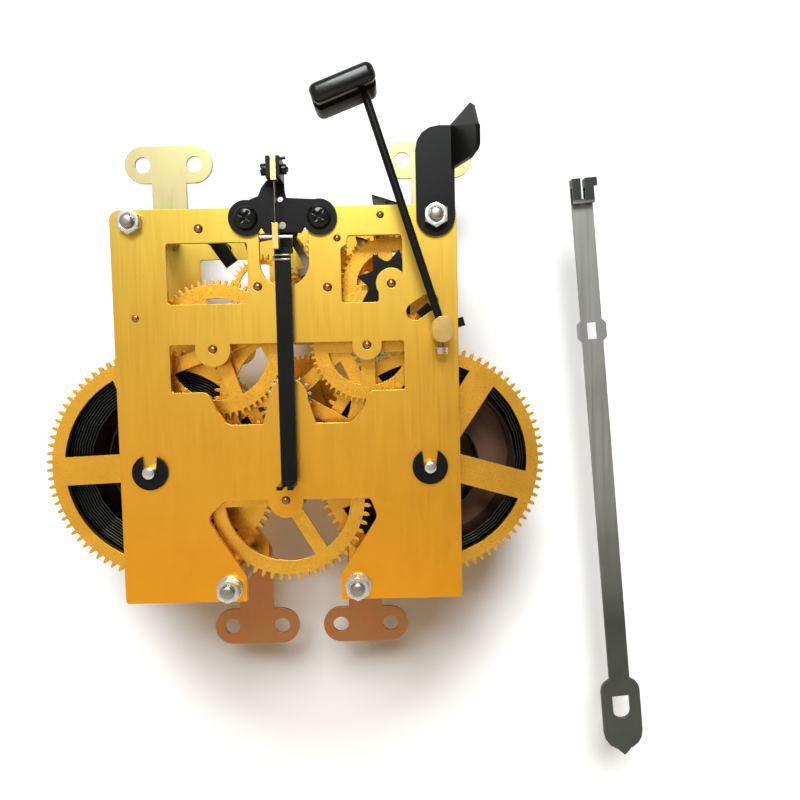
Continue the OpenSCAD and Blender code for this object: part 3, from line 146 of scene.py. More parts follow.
# The room as metals mirror it, low and high, on the left and on the right
ROOM_LEFT = ((1.25, 1.10, 0.92), (1.0, 1.0, 1.0))
ROOM_RIGHT = ((0.36, 0.29, 0.23), (0.72, 0.69, 0.65))
ROOM_WARMTH = (1.0, 0.68, 0.36)
ROOM_SEEN = 0.95

# Lamps: name, power property, place, aim, width, colour
LAMPS = (
    ("key_lamp", "key", (-0.10, -1.90, 1.30), (0.02, 0.0, 0.0), 1.0, (0.955, 0.985, 1.0)),
    ("front_lamp", "fill", (-0.40, -1.70, 0.30), (0.02, 0.0, 0.0), 1.4, (1.0, 0.86, 0.68)),
    ("back_lamp", "back", (-0.2, 1.0, 0.7), (0.0, 0.0, 0.0), 0.8, (1.0, 0.99, 0.97)),
)

# Camera: its place, then pitch, yaw and roll in degrees, and its lens in pixels of the frame
CAMERA_AT = (0.03789, -0.31236, 0.01503)
CAMERA_TURN = (-3.61, 0.271, -1.215)
FOCAL_PX = 749.61
FRAME_PX = 800
SENSOR_MM = 36


def colour_prop(name, description, default):
    return FloatVectorProperty(
        name=name, description=description, default=default, subtype="COLOR", size=3, min=0, max=1
    )


def length_prop(name, description, default):
    return FloatProperty(
        name=name, description=description, default=default, min=0, unit="LENGTH", precision=5
    )


def power_prop(name, description, default):
    return FloatProperty(name=name, description=description, default=default, min=0, unit="POWER")


def strength_prop(name, description, default):
    return FloatProperty(name=name, description=description, default=default, min=0)


def angle_prop(name, description, degrees):
    return FloatProperty(
        name=name, description=description, default=math.radians(degrees), subtype="ANGLE"
    )


class MovementFinishes(bpy.types.PropertyGroup):
    """Colours of the movement's metals and paint"""

    # Plate top and foot are lit and shaded copies of one brass: painted light from top to bottom
    plate_lit_top: colour_prop("Plate top", "Rolled brass near the top edge", (0.58, 0.42, 0.070))
    plate_shaded_low: colour_prop("Plate foot", "Rolled brass near the legs", (0.98, 0.41, 0.022))
    wheel: colour_prop("Wheels", "Stamped brass of the wheels", (0.96, 0.50, 0.055))
    collet: colour_prop("Turned brass", "Bar brass of collet and blocks", (0.95, 0.67, 0.23))
    steel: colour_prop("Bright steel", "Nuts, arbors and pins", (0.74, 0.73, 0.70))
    stud: colour_prop("Stud ends", "Threaded ends of the pillars", (0.36, 0.33, 0.28))
    # The pivot ends are steel; their reddish brown is painted reflection of the brass around them
    pivot: colour_prop("Pivot ends", "Oiled pivot ends in the plate", (0.40, 0.19, 0.11))
    black: colour_prop("Black finish", "Baked black on sheet and rod", (0.0035, 0.0042, 0.0038))
    head: colour_prop("Hammer head", "Moulded hammer head", (0.0045, 0.0042, 0.0036))
    # The lower feet are a shaded copy of the upper feet's zinc: painted shade and painted reflection of the brass
    zinc_top: colour_prop("Upper feet", "Yellow zinc of the upper feet", (0.42, 0.38, 0.185))
    zinc_shaded_low: colour_prop("Lower feet", "Yellow zinc of the lower feet", (0.44, 0.17, 0.062))
    leader_top: colour_prop("Leader top", "Rolled steel of its upper half", (0.42, 0.43, 0.405))
    leader_low: colour_prop("Leader foot", "Darker steel of its lower end", (0.105, 0.115, 0.10))
    leader_hook: colour_prop("Leader hook", "Blued steel of its hook", (0.045, 0.047, 0.043))
    oiled: colour_prop("Oiled steel", "Pallets and suspension strip", (0.22, 0.18, 0.15))
    spring: colour_prop("Mainspring", "Tempered mainspring strip", (0.030, 0.036, 0.033))
    barrel: colour_prop("Barrel", "Black drum of the barrels", (0.016, 0.017, 0.015))
    barrel_floor: colour_prop("Barrel floor", "Browned floor in the drum", (0.20, 0.095, 0.05))


class MovementFasteners(bpy.types.PropertyGroup):
    """Sizes of nuts, screws and pivot ends"""

    nut_af: length_prop("Nut width", "Width across the flats of a pillar nut", 0.0076)
    nut_h: length_prop("Nut height", "Thickness of a pillar nut", 0.0032)
    stud_d: length_prop("Stud", "Thread diameter of the pillar ends", 0.0042)
    stud_proud: length_prop("Stud end", "Length of thread outside a nut", 0.0014)
    screw_d: length_prop("Screw head", "Diameter of the bracket screws' heads", 0.0082)
    screw_h: length_prop("Screw height", "Height of the bracket screws' heads", 0.0022)
    pivot_d: length_prop("Pivot", "Diameter of the larger pivot ends", 0.0024)
    small_pivot_d: length_prop("Small pivot", "Diameter of the smaller pivot ends", 0.0018)
    winding_d: length_prop("Winding arbor", "Diameter of the winding arbors' back ends", 0.0042)


class MovementHammer(bpy.types.PropertyGroup):
    """Sizes of the hammer's rod and head"""

    rod_l: length_prop("Rod", "Length of the rod from its arbor to the head", 0.0813)
    rod_off: length_prop("Rod height", "Height of the rod above the back plate", 0.010)
    rod_lean: angle_prop("Rod lean", "Lean of the rod to the left of upright", 17.4)
    head_turn: angle_prop("Head turn", "Turn of the head on the rod", 3.5)
    head_l: length_prop("Head length", "Length of the head across the rod", 0.022)
    head_h: length_prop("Head height", "Height of the head along the rod", 0.0066)
    head_offset: length_prop("Head offset", "Distance of the head's middle from the rod", 0.006)
    near_lobe: length_prop("Near lobe", "Depth of the lobe towards the viewer", 0.005)
    far_lobe: length_prop("Far lobe", "Depth of the lobe towards the plate", 0.014)
    groove: length_prop("Groove", "Width of the groove between the lobes", 0.002)
    head_near: length_prop("Groove place", "Distance of the groove in front of the rod", 0.003)


class MovementStage(bpy.types.PropertyGroup):
    """Backdrop and light"""

    paper: colour_prop("Backdrop", "Pale paper behind and below", (0.98, 0.99, 0.995))
    bounce: colour_prop("Bounced light", "Light that the paper throws back", (0.62, 0.48, 0.33))
    wall: length_prop("Wall", "Distance of the backdrop behind the board face", 0.034)
    floor: length_prop("Floor", "Depth of the floor below the hand arbor", 0.42)
    reach: length_prop("Floor reach", "Depth of the floor from the wall to its front edge", 0.9)
    key: power_prop("Key lamp", "Power of the lamp above the movement", 53)
    fill: power_prop("Front lamp", "Power of the broad lamp behind the camera", 0.4)
    back: power_prop("Back lamp", "Power of the lamp on the dial side", 2.5)
    lift: strength_prop("Paper glow", "Light of the paper itself around the movement", 0.30)
    sky: strength_prop("Room light", "Strength of the room's light on the pieces", 0.07)
    room: strength_prop("Room seen in metal", "Strength of the room as metals mirror it", 0.62)


# Node calls shared by the finishes


def add(tree, kind, values=None, **fields):
    """New shader node, with its fields and the values of its sockets."""
    made = tree.nodes.new("ShaderNode" + kind)
    for field, value in fields.items():
        setattr(made, field, value)
    for socket, value in (values or {}).items():
        made.inputs[socket].default_value = value
    return made


def combined(tree, operation, first, second):
    """Two values joined by one step of arithmetic."""
    made = add(tree, "Math", operation=operation)
    tree.links.new(first, made.inputs[0])
    tree.links.new(second, made.inputs[1])
    return made.outputs[0]


def object_place(tree, scale=(1, 1, 1), turn=(0, 0, 0)):
    """Place on the piece, stretched and turned for a pattern."""
    place = add(tree, "TexCoord")
    mapping = add(tree, "Mapping", {"Scale": scale, "Rotation": turn})
    tree.links.new(place.outputs["Object"], mapping.inputs["Vector"])
    return mapping.outputs["Vector"]


def along(tree, axis):
    """Place on the piece along X, Y or Z alone."""
    parts = add(tree, "SeparateXYZ")
    tree.links.new(object_place(tree), parts.inputs["Vector"])
    return parts.outputs[axis]


def noise(tree, vector, scale, detail=3.0, distortion=0.0):
    made = add(tree, "TexNoise", {"Scale": scale, "Detail": detail, "Distortion": distortion})
    tree.links.new(vector, made.inputs["Vector"])
    return made.outputs["Fac"]


def spread(tree, value, low, high, to_low=0.0, to_high=1.0):
    """Value mapped from one range to another and held at its ends."""
    made = add(
        tree, "MapRange", {"From Min": low, "From Max": high, "To Min": to_low, "To Max": to_high}
    )
    tree.links.new(value, made.inputs["Value"])
    return made.outputs["Result"]


def mixed(tree, factor, first, second):
    """Mix of two colours, each a socket or a colour."""
    made = add(tree, "Mix", data_type="RGBA")
    tree.links.new(factor, made.inputs[0])
    for socket, colour in ((made.inputs[6], first), (made.inputs[7], second)):
        if isinstance(colour, bpy.types.NodeSocket):
            tree.links.new(colour, socket)
        else:
            socket.default_value = (*colour, 1)
    return made.outputs[2]


def shaded(colour, share):
    return tuple(c * share for c in colour)


def rounded_edges(tree, radius):
    """Normal with softened edges, and a mask that is 1 along them."""
    bevel = add(tree, "Bevel", {"Radius": radius}, samples=6)
    flat = add(tree, "NewGeometry")
    dot = add(tree, "VectorMath", operation="DOT_PRODUCT")
    tree.links.new(bevel.outputs["Normal"], dot.inputs[0])
    tree.links.new(flat.outputs["Normal"], dot.inputs[1])
    return bevel.outputs["Normal"], spread(tree, dot.outputs["Value"], 0.985, 0.8)


def start(name, metallic):
    """Node tree and shader of a new finish."""
    made = bpy.data.materials.new(name)
    made.use_nodes = True
    shader = made.node_tree.nodes["Principled BSDF"]
    shader.inputs["Metallic"].default_value = metallic
    return made.node_tree, shader


def dress(tree, shader, colour, rough, relief, normal):
    """Joins colour, roughness, soft edges and fine relief, given as pattern, strength and depth."""
    pattern, strength, depth = relief
    bump = add(tree, "Bump", {"Strength": strength, "Distance": depth})
    tree.links.new(pattern, bump.inputs["Height"])
    tree.links.new(normal, bump.inputs["Normal"])
    tree.links.new(bump.outputs["Normal"], shader.inputs["Normal"])
    tree.links.new(colour, shader.inputs["Base Color"])
    tree.links.new(rough, shader.inputs["Roughness"])


# Finishes


def rolled_brass(name, top, low):
    """Satin sheet brass: upright rolling grain, faint clouds and specks, brighter sheared edges, and painted light
    from a shaded orange foot to a lit yellow top.
    """
    tree, shader = start(name, 1.0)
    grain = noise(tree, object_place(tree, (1500, 1500, 45)), 1.0, 3)
    cloud = noise(tree, object_place(tree), 32, 4, 0.4)
    speck = noise(tree, object_place(tree), 420, 2)
    normal, edge = rounded_edges(tree, 0.00022)
    # Painted light: shaded orange at the foot fading to lit yellow at the top
    tone = mixed(tree, spread(tree, along(tree, "Z"), *PLATE_SHADE_FADE), low, top)
    tone = mixed(tree, spread(tree, cloud, 0.42, 0.72, 0, 0.22), tone, shaded(low, 0.62))
    tone = mixed(tree, spread(tree, speck, 0.72, 0.82, 0, 0.25), tone, shaded(low, 0.35))
    tone = mixed(tree, edge, tone, SHEARED_BRASS)
    rough = spread(tree, grain, 0.2, 0.8, 0.32, 0.42)
    dress(tree, shader, tone, rough, (grain, 0.07, 0.00004), normal)


def stamped_brass(name, colour):
    """Wheel brass: fine tumbled surface, oil-darkened patches, bright cut edges."""
    tree, shader = start(name, 1.0)
    grain = noise(tree, object_place(tree), 1600, 2)
    cloud = noise(tree, object_place(tree), 70, 3, 0.6)
    normal, edge = rounded_edges(tree, 0.00018)
    tone = mixed(tree, spread(tree, cloud, 0.40, 0.75, 0, 0.4), colour, shaded(colour, 0.62))
    tone = mixed(tree, edge, tone, CUT_BRASS)
    rough = spread(tree, grain, 0.25, 0.75, 0.24, 0.40)
    dress(tree, shader, tone, rough, (grain, 0.10, 0.00003), normal)


def turned_metal(name, colour, rough_low, rough_high, edge_colour):
    """Bar turned on a lathe: fine rings along the arbor, soft edges."""
    tree, shader = start(name, 1.0)
    rings = noise(tree, object_place(tree, (120, 2600, 120)), 1.0, 2)
    cloud = noise(tree, object_place(tree), 160, 3)
    normal, edge = rounded_edges(tree, 0.00015)
    tone = mixed(tree, spread(tree, cloud, 0.42, 0.75, 0, 0.5), colour, shaded(colour, 0.55))
    tone = mixed(tree, edge, tone, edge_colour)
    rough = spread(tree, rings, 0.25, 0.75, rough_low, rough_high)
    dress(tree, shader, tone, rough, (rings, 0.12, 0.00003), normal)


def baked_black(name, colour, rough_low, rough_high, shine=0.16, rub=0.5, dull_y=None):
    """Baked paint: fine orange peel, edges rubbed grey, duller behind dull_y if asked."""
    tree, shader = start(name, 0.0)
    shader.inputs["Specular IOR Level"].default_value = shine
    peel = noise(tree, object_place(tree), 900, 2)
    cloud = noise(tree, object_place(tree), 60, 3)
    normal, edge = rounded_edges(tree, 0.00025)
    tone = mixed(tree, spread(tree, cloud, 0.35, 0.75), colour, shaded(colour, 1.9))
    tone = mixed(tree, spread(tree, edge, 0.1, 1, 0, rub), tone, RUBBED_BLACK)
    rough = spread(tree, peel, 0.25, 0.75, rough_low, rough_high)
    if dull_y is not None:
        near, far = dull_y - DULL_FADE, dull_y + DULL_FADE
        gloss = spread(tree, along(tree, "Y"), near, far, shine, DULL_SHINE)
        tree.links.new(gloss, shader.inputs["Specular IOR Level"])
    dress(tree, shader, tone, rough, (peel, 0.10, 0.00004), normal)


def yellow_zinc(name, top, low):
    """Passivated zinc: cloudy yellow-green with a pink bloom, browner on the lower feet as painted shade and
    painted reflection of the brass.
    """
    tree, shader = start(name, 1.0)
    grain = noise(tree, object_place(tree, (900, 900, 60)), 1.0, 2)
    cloud = noise(tree, object_place(tree), 90, 3, 1.2)
    normal, edge = rounded_edges(tree, 0.0002)
    # Painted shade and painted reflection: the lower feet browner and darker than the upper ones
    rise = spread(tree, along(tree, "Z"), *FEET_SHADE_FADE)
    tone = mixed(tree, rise, low, top)
    bloom = mixed(tree, rise, BLOOM_SHADED_LOW, BLOOM_TOP)
    tone = mixed(tree, spread(tree, cloud, 0.48, 0.70, 0, 0.6), tone, bloom)
    tone = mixed(tree, spread(tree, edge, 0, 1, 0, 0.5), tone, RUBBED_ZINC)
    rough = spread(tree, grain, 0.25, 0.75, 0.34, 0.48)
    dress(tree, shader, tone, rough, (grain, 0.10, 0.00003), normal)


def rolled_steel(name, colour, rough_low, rough_high, low=None, hook=None):
    """Cold rolled strip: long streaks, faint blotches, pale edges, darker at its ends if asked, the upper part by
    painted shade.
    """
    tree, shader = start(name, 1.0)
    streak = noise(tree, object_place(tree, (1300, 1300, 25), (0, math.radians(3), 0)), 1.0, 3)
    cloud = noise(tree, object_place(tree), 45, 4, 0.5)
    normal, edge = rounded_edges(tree, 0.0002)
    blotch = spread(tree, cloud, 0.35, 0.7, 0, 0.45)
    tone = mixed(tree, blotch, colour, shaded(colour, 0.62))
    if low:
        dark = mixed(tree, blotch, low, shaded(low, 0.6))
        rise = along(tree, "Z")
        # Painted shade darkening the leader's upper part
        tone = mixed(tree, spread(tree, rise, *LEADER_TOP_SHADE), tone, shaded(colour, 0.70))
        tone = mixed(tree, spread(tree, rise, *LEADER_DARKENS), dark, tone)
        tone = mixed(tree, spread(tree, rise, *LEADER_BLUES), tone, hook)
    tone = mixed(tree, spread(tree, edge, 0, 1, 0, 0.5), tone, RUBBED_STRIP)
    rough = spread(tree, streak, 0.25, 0.75, rough_low, rough_high)
    dress(tree, shader, tone, rough, (streak, 0.12, 0.00003), normal)


def drum_black(name, wall, floor, floor_y):
    """Black drum with a brown inner floor."""
    tree, shader = start(name, 0.35)
    peel = noise(tree, object_place(tree), 700, 2)
    cloud = noise(tree, object_place(tree), 55, 3, 0.8)
    normal = rounded_edges(tree, 0.0002)[0]
    brown = mixed(tree, spread(tree, cloud, 0.35, 0.7), floor, shaded(floor, 0.55))
    black_y, brown_y = (floor_y - gap for gap in FLOOR_FADE)
    tone = mixed(tree, spread(tree, along(tree, "Y"), black_y, brown_y), wall, brown)
    rough = spread(tree, peel, 0.25, 0.75, 0.32, 0.46)
    dress(tree, shader, tone, rough, (peel, 0.10, 0.00004), normal)


# Modelling calls shared by the pieces


def deselect():
    if bpy.context.object and bpy.context.object.mode != "OBJECT":
        bpy.ops.object.mode_set(mode="OBJECT")
    bpy.ops.object.select_all(action="DESELECT")


def only(piece):
    """Selects one piece and makes it active."""
    deselect()
    piece.select_set(True)
    bpy.context.view_layer.objects.active = piece


def settle(piece, name):
    """Puts a piece's place into its mesh and names it."""
    only(piece)
    bpy.ops.object.transform_apply(location=True, rotation=True, scale=True)
    piece.name = name
    piece.data.name = name
    return piece


def turned(outline, steps=32):
    """Solid of revolution about Z from (radius, height) points: a point, drawn out and spun."""
    deselect()
    bpy.ops.mesh.primitive_plane_add(size=0.0002)
    piece = bpy.context.object
    bpy.ops.object.mode_set(mode="EDIT")
    bpy.ops.mesh.select_all(action="SELECT")
    bpy.ops.mesh.merge(type="CENTER")
    bpy.ops.transform.translate(value=(outline[0][0], 0, outline[0][1]))
    for (r0, h0), (r1, h1) in zip(outline, outline[1:]):
        bpy.ops.mesh.extrude_region_move(TRANSFORM_OT_translate={"value": (r1 - r0, 0, h1 - h0)})
    bpy.ops.mesh.select_all(action="SELECT")
    bpy.ops.mesh.spin(steps=steps, angle=math.tau, center=(0, 0, 0), axis=(0, 0, 1))
    bpy.ops.mesh.select_all(action="SELECT")
    bpy.ops.mesh.remove_doubles(threshold=0.000002)
    bpy.ops.mesh.normals_make_consistent(inside=False)
    bpy.ops.object.mode_set(mode="OBJECT")
    bpy.ops.object.shade_smooth_by_angle(angle=math.radians(35))
    return piece


def dome_outline(r, proud):
    """Outline of a domed bar end of the given radius, starting below the bar's own end."""
    root = -0.0003
    return [
        (0, root), (r, root), (r, proud * 0.35), (r * 0.96, proud * 0.52),
        (r * 0.84, proud * 0.72), (r * 0.62, proud * 0.88), (r * 0.34, proud * 0.97), (0, proud),
    ]


def carve(piece, tool, operation="DIFFERENCE"):
    """Cuts a piece with a tool solid, which is used up."""
    only(piece)
    bpy.ops.object.modifier_add(type="BOOLEAN")
    cut = piece.modifiers[-1]
    cut.operation = operation
    cut.object = tool
    cut.solver = "EXACT"
    bpy.ops.object.modifier_apply(modifier=cut.name)
    bpy.data.objects.remove(tool)


def soften(piece, width, segments=2):
    """Rounds a piece's sharp edges."""
    only(piece)
    bpy.ops.object.modifier_add(type="BEVEL")
    bevel = piece.modifiers[-1]
    bevel.width = width
    bevel.segments = segments
    bevel.limit_method = "ANGLE"
    bevel.angle_limit = math.radians(28)
    bpy.ops.object.modifier_apply(modifier=bevel.name)
    bpy.ops.object.shade_smooth_by_angle(angle=math.radians(40))
    return piece


def block(size, at=(0, 0, 0)):
    deselect()
    bpy.ops.mesh.primitive_cube_add(size=1, location=at)
    piece = bpy.context.object
    piece.scale = size
    return settle(piece, "block")


def cut_slot(piece, width, height):
    """Cuts a screwdriver slot across a head, about the given height."""
    length, depth = 0.006, 0.001
    carve(piece, block((length, width, depth), (0, 0, height)))


def standing(at, out, turn=0.0):
    """Placement with a piece's Z along the given way out, turned about it."""
    way = Vector(out).normalized().to_track_quat("Z", "Y").to_matrix().to_4x4()
    return Matrix.Translation(at) @ way @ Matrix.Rotation(turn, 4, "Z")


def on_plate(x, z, out=0.0):
    """Place on the back plate's outer face, or that far out of it."""
    return Vector((x, PLATE_FACE - out, z))


def copy_to(piece, placement, name):
    """Copy of a piece, with its own mesh, at a placement."""
    only(piece)
    bpy.ops.object.duplicate()
    twin = bpy.context.object
    twin.matrix_world = placement
    return settle(twin, name)


def move_to(piece, placement, name):
    piece.matrix_world = placement
    return settle(piece, name)


def gather(parts, name):
    """Joins parts into one piece."""
    deselect()
    for part in parts:
        part.select_set(True)
    bpy.context.view_layer.objects.active = parts[0]
    bpy.ops.object.join()
    return settle(parts[0], name)


def discard(*spares):
    for spare in spares:
        bpy.data.objects.remove(spare)


def hand_over(piece, body, finish_name):
    """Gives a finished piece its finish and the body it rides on."""
    piece.data.materials.clear()
    piece.data.materials.append(bpy.data.materials[finish_name])
    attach(piece, body)


# Finish of a node in each slot, and nodes that differ from it
SLOT_FINISH = {
    "brass": "wheel_brass",
    "bright_steel": "polished_steel",
    "black_finish": "baked_black",
    "yellow_zinc": "zinc_feet",
    "grey_steel": "leader_steel",
    "moulded_black": "head_black",
}
FINISH_OF = {
    "plate_brass": ("back_plate", "front_plate"),
    "mainspring_steel": ("time_mainspring", "strike_mainspring"),
    "drum_black": ("time_barrel", "strike_barrel"),
    "oiled_steel": ("pallets", "suspension_spring"),
    "stud_steel": ("pallet_arbor",),
    "turned_brass": ("suspension_top_block", "suspension_lower_block", "hammer_collet"),
}


class MOVEMENT_OT_finishes(bpy.types.Operator):
    """Make the movement's finishes and put them on the CAD nodes"""

    bl_idname = "movement.finishes"
    bl_label = "Finishes"

    def execute(self, context):
        look = context.scene.movement_finishes
        hammer = context.scene.movement_hammer
        groove_y = PLATE_FACE - hammer.rod_off - hammer.head_near
        floor_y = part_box("time_barrel")[1].y - BARREL_FLOOR_T
        rolled_brass("plate_brass", look.plate_lit_top[:], look.plate_shaded_low[:])
        stamped_brass("wheel_brass", look.wheel[:])
        turned_metal("turned_brass", look.collet[:], 0.20, 0.32, BRASS_EDGE)
        turned_metal("polished_steel", look.steel[:], 0.20, 0.34, STEEL_EDGE)
        turned_metal("stud_steel", look.stud[:], 0.24, 0.38, STUD_EDGE)
        # Painted reflection: reddish steel for the pivot ends, post rivet and screw thread
        turned_metal("pivot_steel", look.pivot[:], 0.18, 0.30, PIVOT_EDGE)
        baked_black("baked_black", look.black[:], 0.28, 0.40)
        baked_black("head_black", look.head[:], 0.16, 0.26, 0.32, 0.02, groove_y)
        baked_black("screw_black", look.black[:], 0.12, 0.20, 0.3, 0.2)
        yellow_zinc("zinc_feet", look.zinc_top[:], look.zinc_shaded_low[:])
        ends = look.leader_low[:], look.leader_hook[:]
        rolled_steel("leader_steel", look.leader_top[:], 0.34, 0.48, *ends)
        rolled_steel("mainspring_steel", look.spring[:], 0.26, 0.40)
        rolled_steel("oiled_steel", look.oiled[:], 0.28, 0.42)
        drum_black("drum_black", look.barrel[:], look.barrel_floor[:], floor_y)
        named = {node: key for key, nodes in FINISH_OF.items() for node in nodes}
        slots = {part["node"]: part["material_slot"] for part in frame["record"]["subparts"]}
        for node, piece in frame["nodes"].items():
            worn = named.get(node) or SLOT_FINISH[slots[node]]
            piece.data.materials.clear()
            piece.data.materials.append(bpy.data.materials[worn])
        return {"FINISHED"}


class MOVEMENT_OT_pillar_nuts(bpy.types.Operator):
    """Model the chamfered pillar nuts with washers and threaded stud ends"""

    bl_idname = "movement.pillar_nuts"
    bl_label = "Pillar nuts"

    def execute(self, context):
        size = context.scene.movement_fasteners
        nut, washer, tip = self.nut(size), self.washer(size), self.stud_end(size)
        nuts, tips = [], []
        for (x, z), under in zip(PILLARS, UNDER_NUT):
            back = on_plate(x, z, under)
            dial = Vector((x, BOARD_FACE, z))
            nuts.append(copy_to(nut, standing(back, OUT_BACK), "back_nut"))
            nuts.append(copy_to(nut, standing(dial, OUT_DIAL), "dial_nut"))
            back_end, dial_end = back + OUT_BACK * size.nut_h, dial + OUT_DIAL * size.nut_h
            tips.append(copy_to(tip, standing(back_end, OUT_BACK), "back_tip"))
            tips.append(copy_to(tip, standing(dial_end, OUT_DIAL), "dial_tip"))
            if z < 0:
                nuts.append(copy_to(washer, standing(on_plate(x, z), OUT_BACK), "washer"))
        discard(nut, washer, tip)
        nuts = gather(nuts, "chamfered_pillar_nuts")
        hand_over(nuts, "root", "polished_steel")
        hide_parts("pillar_nuts")
        hand_over(gather(tips, "threaded_stud_ends"), "root", "stud_steel")
        return {"FINISHED"}

    def nut(self, size):
        """Hexagon with its corners turned off at both ends and its bore countersunk."""
        flat, stud, top = size.nut_af / 2, size.stud_d / 2, size.nut_h
        corner = flat / math.cos(math.pi / 6)
        slope = corner - flat * 0.97
        rise, skim, outside = slope * 0.7, 0.0001, corner + 0.0002
        sink, past, facets = 0.0005, 0.001, 48
        deselect()
        bpy.ops.mesh.primitive_cylinder_add(
            vertices=6, radius=corner, depth=top, location=(0, 0, top / 2)
        )
        nut = settle(bpy.context.object, "nut")
        cone = turned([
            (0, -skim), (corner - slope, -skim), (outside, rise),
            (outside, top - rise), (corner - slope, top + skim), (0, top + skim),
        ], facets)
        # Half a facet round, so that no edge of the cone meets a corner of the nut
        cone = move_to(cone, Matrix.Rotation(math.pi / facets, 4, "Z"), "cone")
        carve(nut, cone, "INTERSECT")
        carve(nut, turned([
            (0, -past), (stud + sink + past, -past), (stud, sink), (stud, top - sink),
            (stud + sink + past, top + past), (0, top + past),
        ], 40))
        return soften(nut, 0.00009)

    def washer(self, size):
        """Flat washer with broken edges, as it stands under the lower nuts."""
        bore, r, h, corner = size.stud_d / 2 + 0.00005, 0.0047, 0.00078, 0.0001
        return turned([
            (bore, 0), (r - corner, 0), (r, corner), (r, h - 0.00012), (r - corner, h),
            (bore, h), (bore, 0),
        ], 40)

    def stud_end(self, size):
        """End of a stud outside its nut: rings at the thread's pitch and a domed tip."""
        stud, end = size.stud_d / 2, size.stud_proud
        root, crest, pitch = stud + 0.00001, stud + 0.00008, 0.00035
        outline = [(0, 0), (root, 0)]
        for turn in range(round(end / pitch)):
            outline += [(crest, (turn + 0.5) * pitch), (root, (turn + 1) * pitch)]
        tip = [(stud - 0.0003, end + 0.00018), (stud * 0.5, end + 0.00032), (0, end + 0.00036)]
        return turned(outline + tip, 32)


class MOVEMENT_OT_plate_screws(bpy.types.Operator):
    """Model the bracket, click and clamp screws with their recesses"""

    bl_idname = "movement.plate_screws"
    bl_label = "Plate screws"

    def execute(self, context):
        pan = self.pan_screw(context.scene.movement_fasteners)
        click, clamp, pin = self.click_screw(), self.clamp_screw(), self.cheek_pin()
        pan_turn, click_turn, click_t = 0.21, 0.6, 0.0025
        parts = []
        for x, z in BRACKET_SCREWS:
            at = on_plate(x, z, BRACKET_T)
            parts.append(copy_to(pan, standing(at, OUT_BACK, pan_turn), "pan"))
        click_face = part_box("front_plate")[1].y + click_t
        for body in CLICKS:
            at = Vector((AXIS[body].x, click_face, AXIS[body].z))
            parts.append(copy_to(click, standing(at, OUT_DIAL, click_turn), "slotted"))
        low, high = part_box("suspension_top_block")
        middle, cheek = (low.x + high.x) / 2, 0.0070
        clamp_at = on_plate(middle - 0.0045, low.z + 0.0040, cheek)
        pin_at = on_plate(middle + 0.0008, high.z + 0.0002, cheek)
        parts.append(copy_to(clamp, standing(clamp_at, RIGHT), "clamp"))
        parts.append(copy_to(pin, standing(pin_at, (1, 0, 0.12)), "pin"))
        discard(pan, click, clamp, pin)
        screws = gather(parts, "recessed_plate_screws")
        hand_over(screws, "root", "screw_black")
        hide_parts("plate_screws")
        return {"FINISHED"}

    def pan_screw(self, size):
        """Domed head with a cross recess, on a short shank."""
        r, h, shank, deep = size.screw_d / 2, size.screw_h, 0.0015, -0.002
        pan = turned([
            (0, deep), (shank, deep), (shank, 0), (r, 0), (r, h * 0.30), (r * 0.95, h * 0.56),
            (r * 0.82, h * 0.79), (r * 0.60, h * 0.94), (r * 0.30, h), (0, h),
        ], 40)
        for degrees in (45, 135):
            arm = block((r * 1.15, 0.0010, h), (0, 0, h * 0.98))
            carve(pan, move_to(arm, Matrix.Rotation(math.radians(degrees), 4, "Z"), "arm"))
        return soften(pan, 0.00012)

    def click_screw(self):
        """Low slotted head on a short shank."""
        r, h, shank, deep = 0.0024, 0.0012, 0.00145, -0.002
        click = turned([
            (0, deep), (shank, deep), (shank, 0), (r, 0), (r, 0.0008), (r - 0.0003, h), (0, h),
        ], 36)
        cut_slot(click, 0.0007, h - 0.0001)
        return soften(click, 0.00008)

    def clamp_screw(self):
        """Slotted head, bare shank between the bracket's cheeks, and a round nut."""
        head, shank, nut, tip = 0.0020, 0.0010, 0.00175, 0.0008
        head_end, nut_start, nut_end, end = 0.0022, 0.0068, 0.0086, 0.0092
        slope = 0.0002
        clamp = turned([
            (0, 0), (head - 0.0001, 0), (head, 0.0001), (head, head_end - slope),
            (head - slope, head_end), (shank, head_end), (shank, nut_start),
            (nut - slope, nut_start), (nut, nut_start + slope), (nut, nut_end - slope),
            (nut - 0.00025, nut_end), (tip + 0.0001, nut_end), (tip, end), (0, end),
        ], 32)
        cut_slot(clamp, 0.0007, 0)
        return soften(clamp, 0.00006)

    def cheek_pin(self):
        """Small plain pin with broken edges, which lies on the suspension's cheek."""
        r, length, corner = 0.0005, 0.0030, 0.0001
        return turned([
            (0, 0), (r - corner, 0), (r, corner), (r, length - corner), (r - corner, length),
            (0, length),
        ], 24)


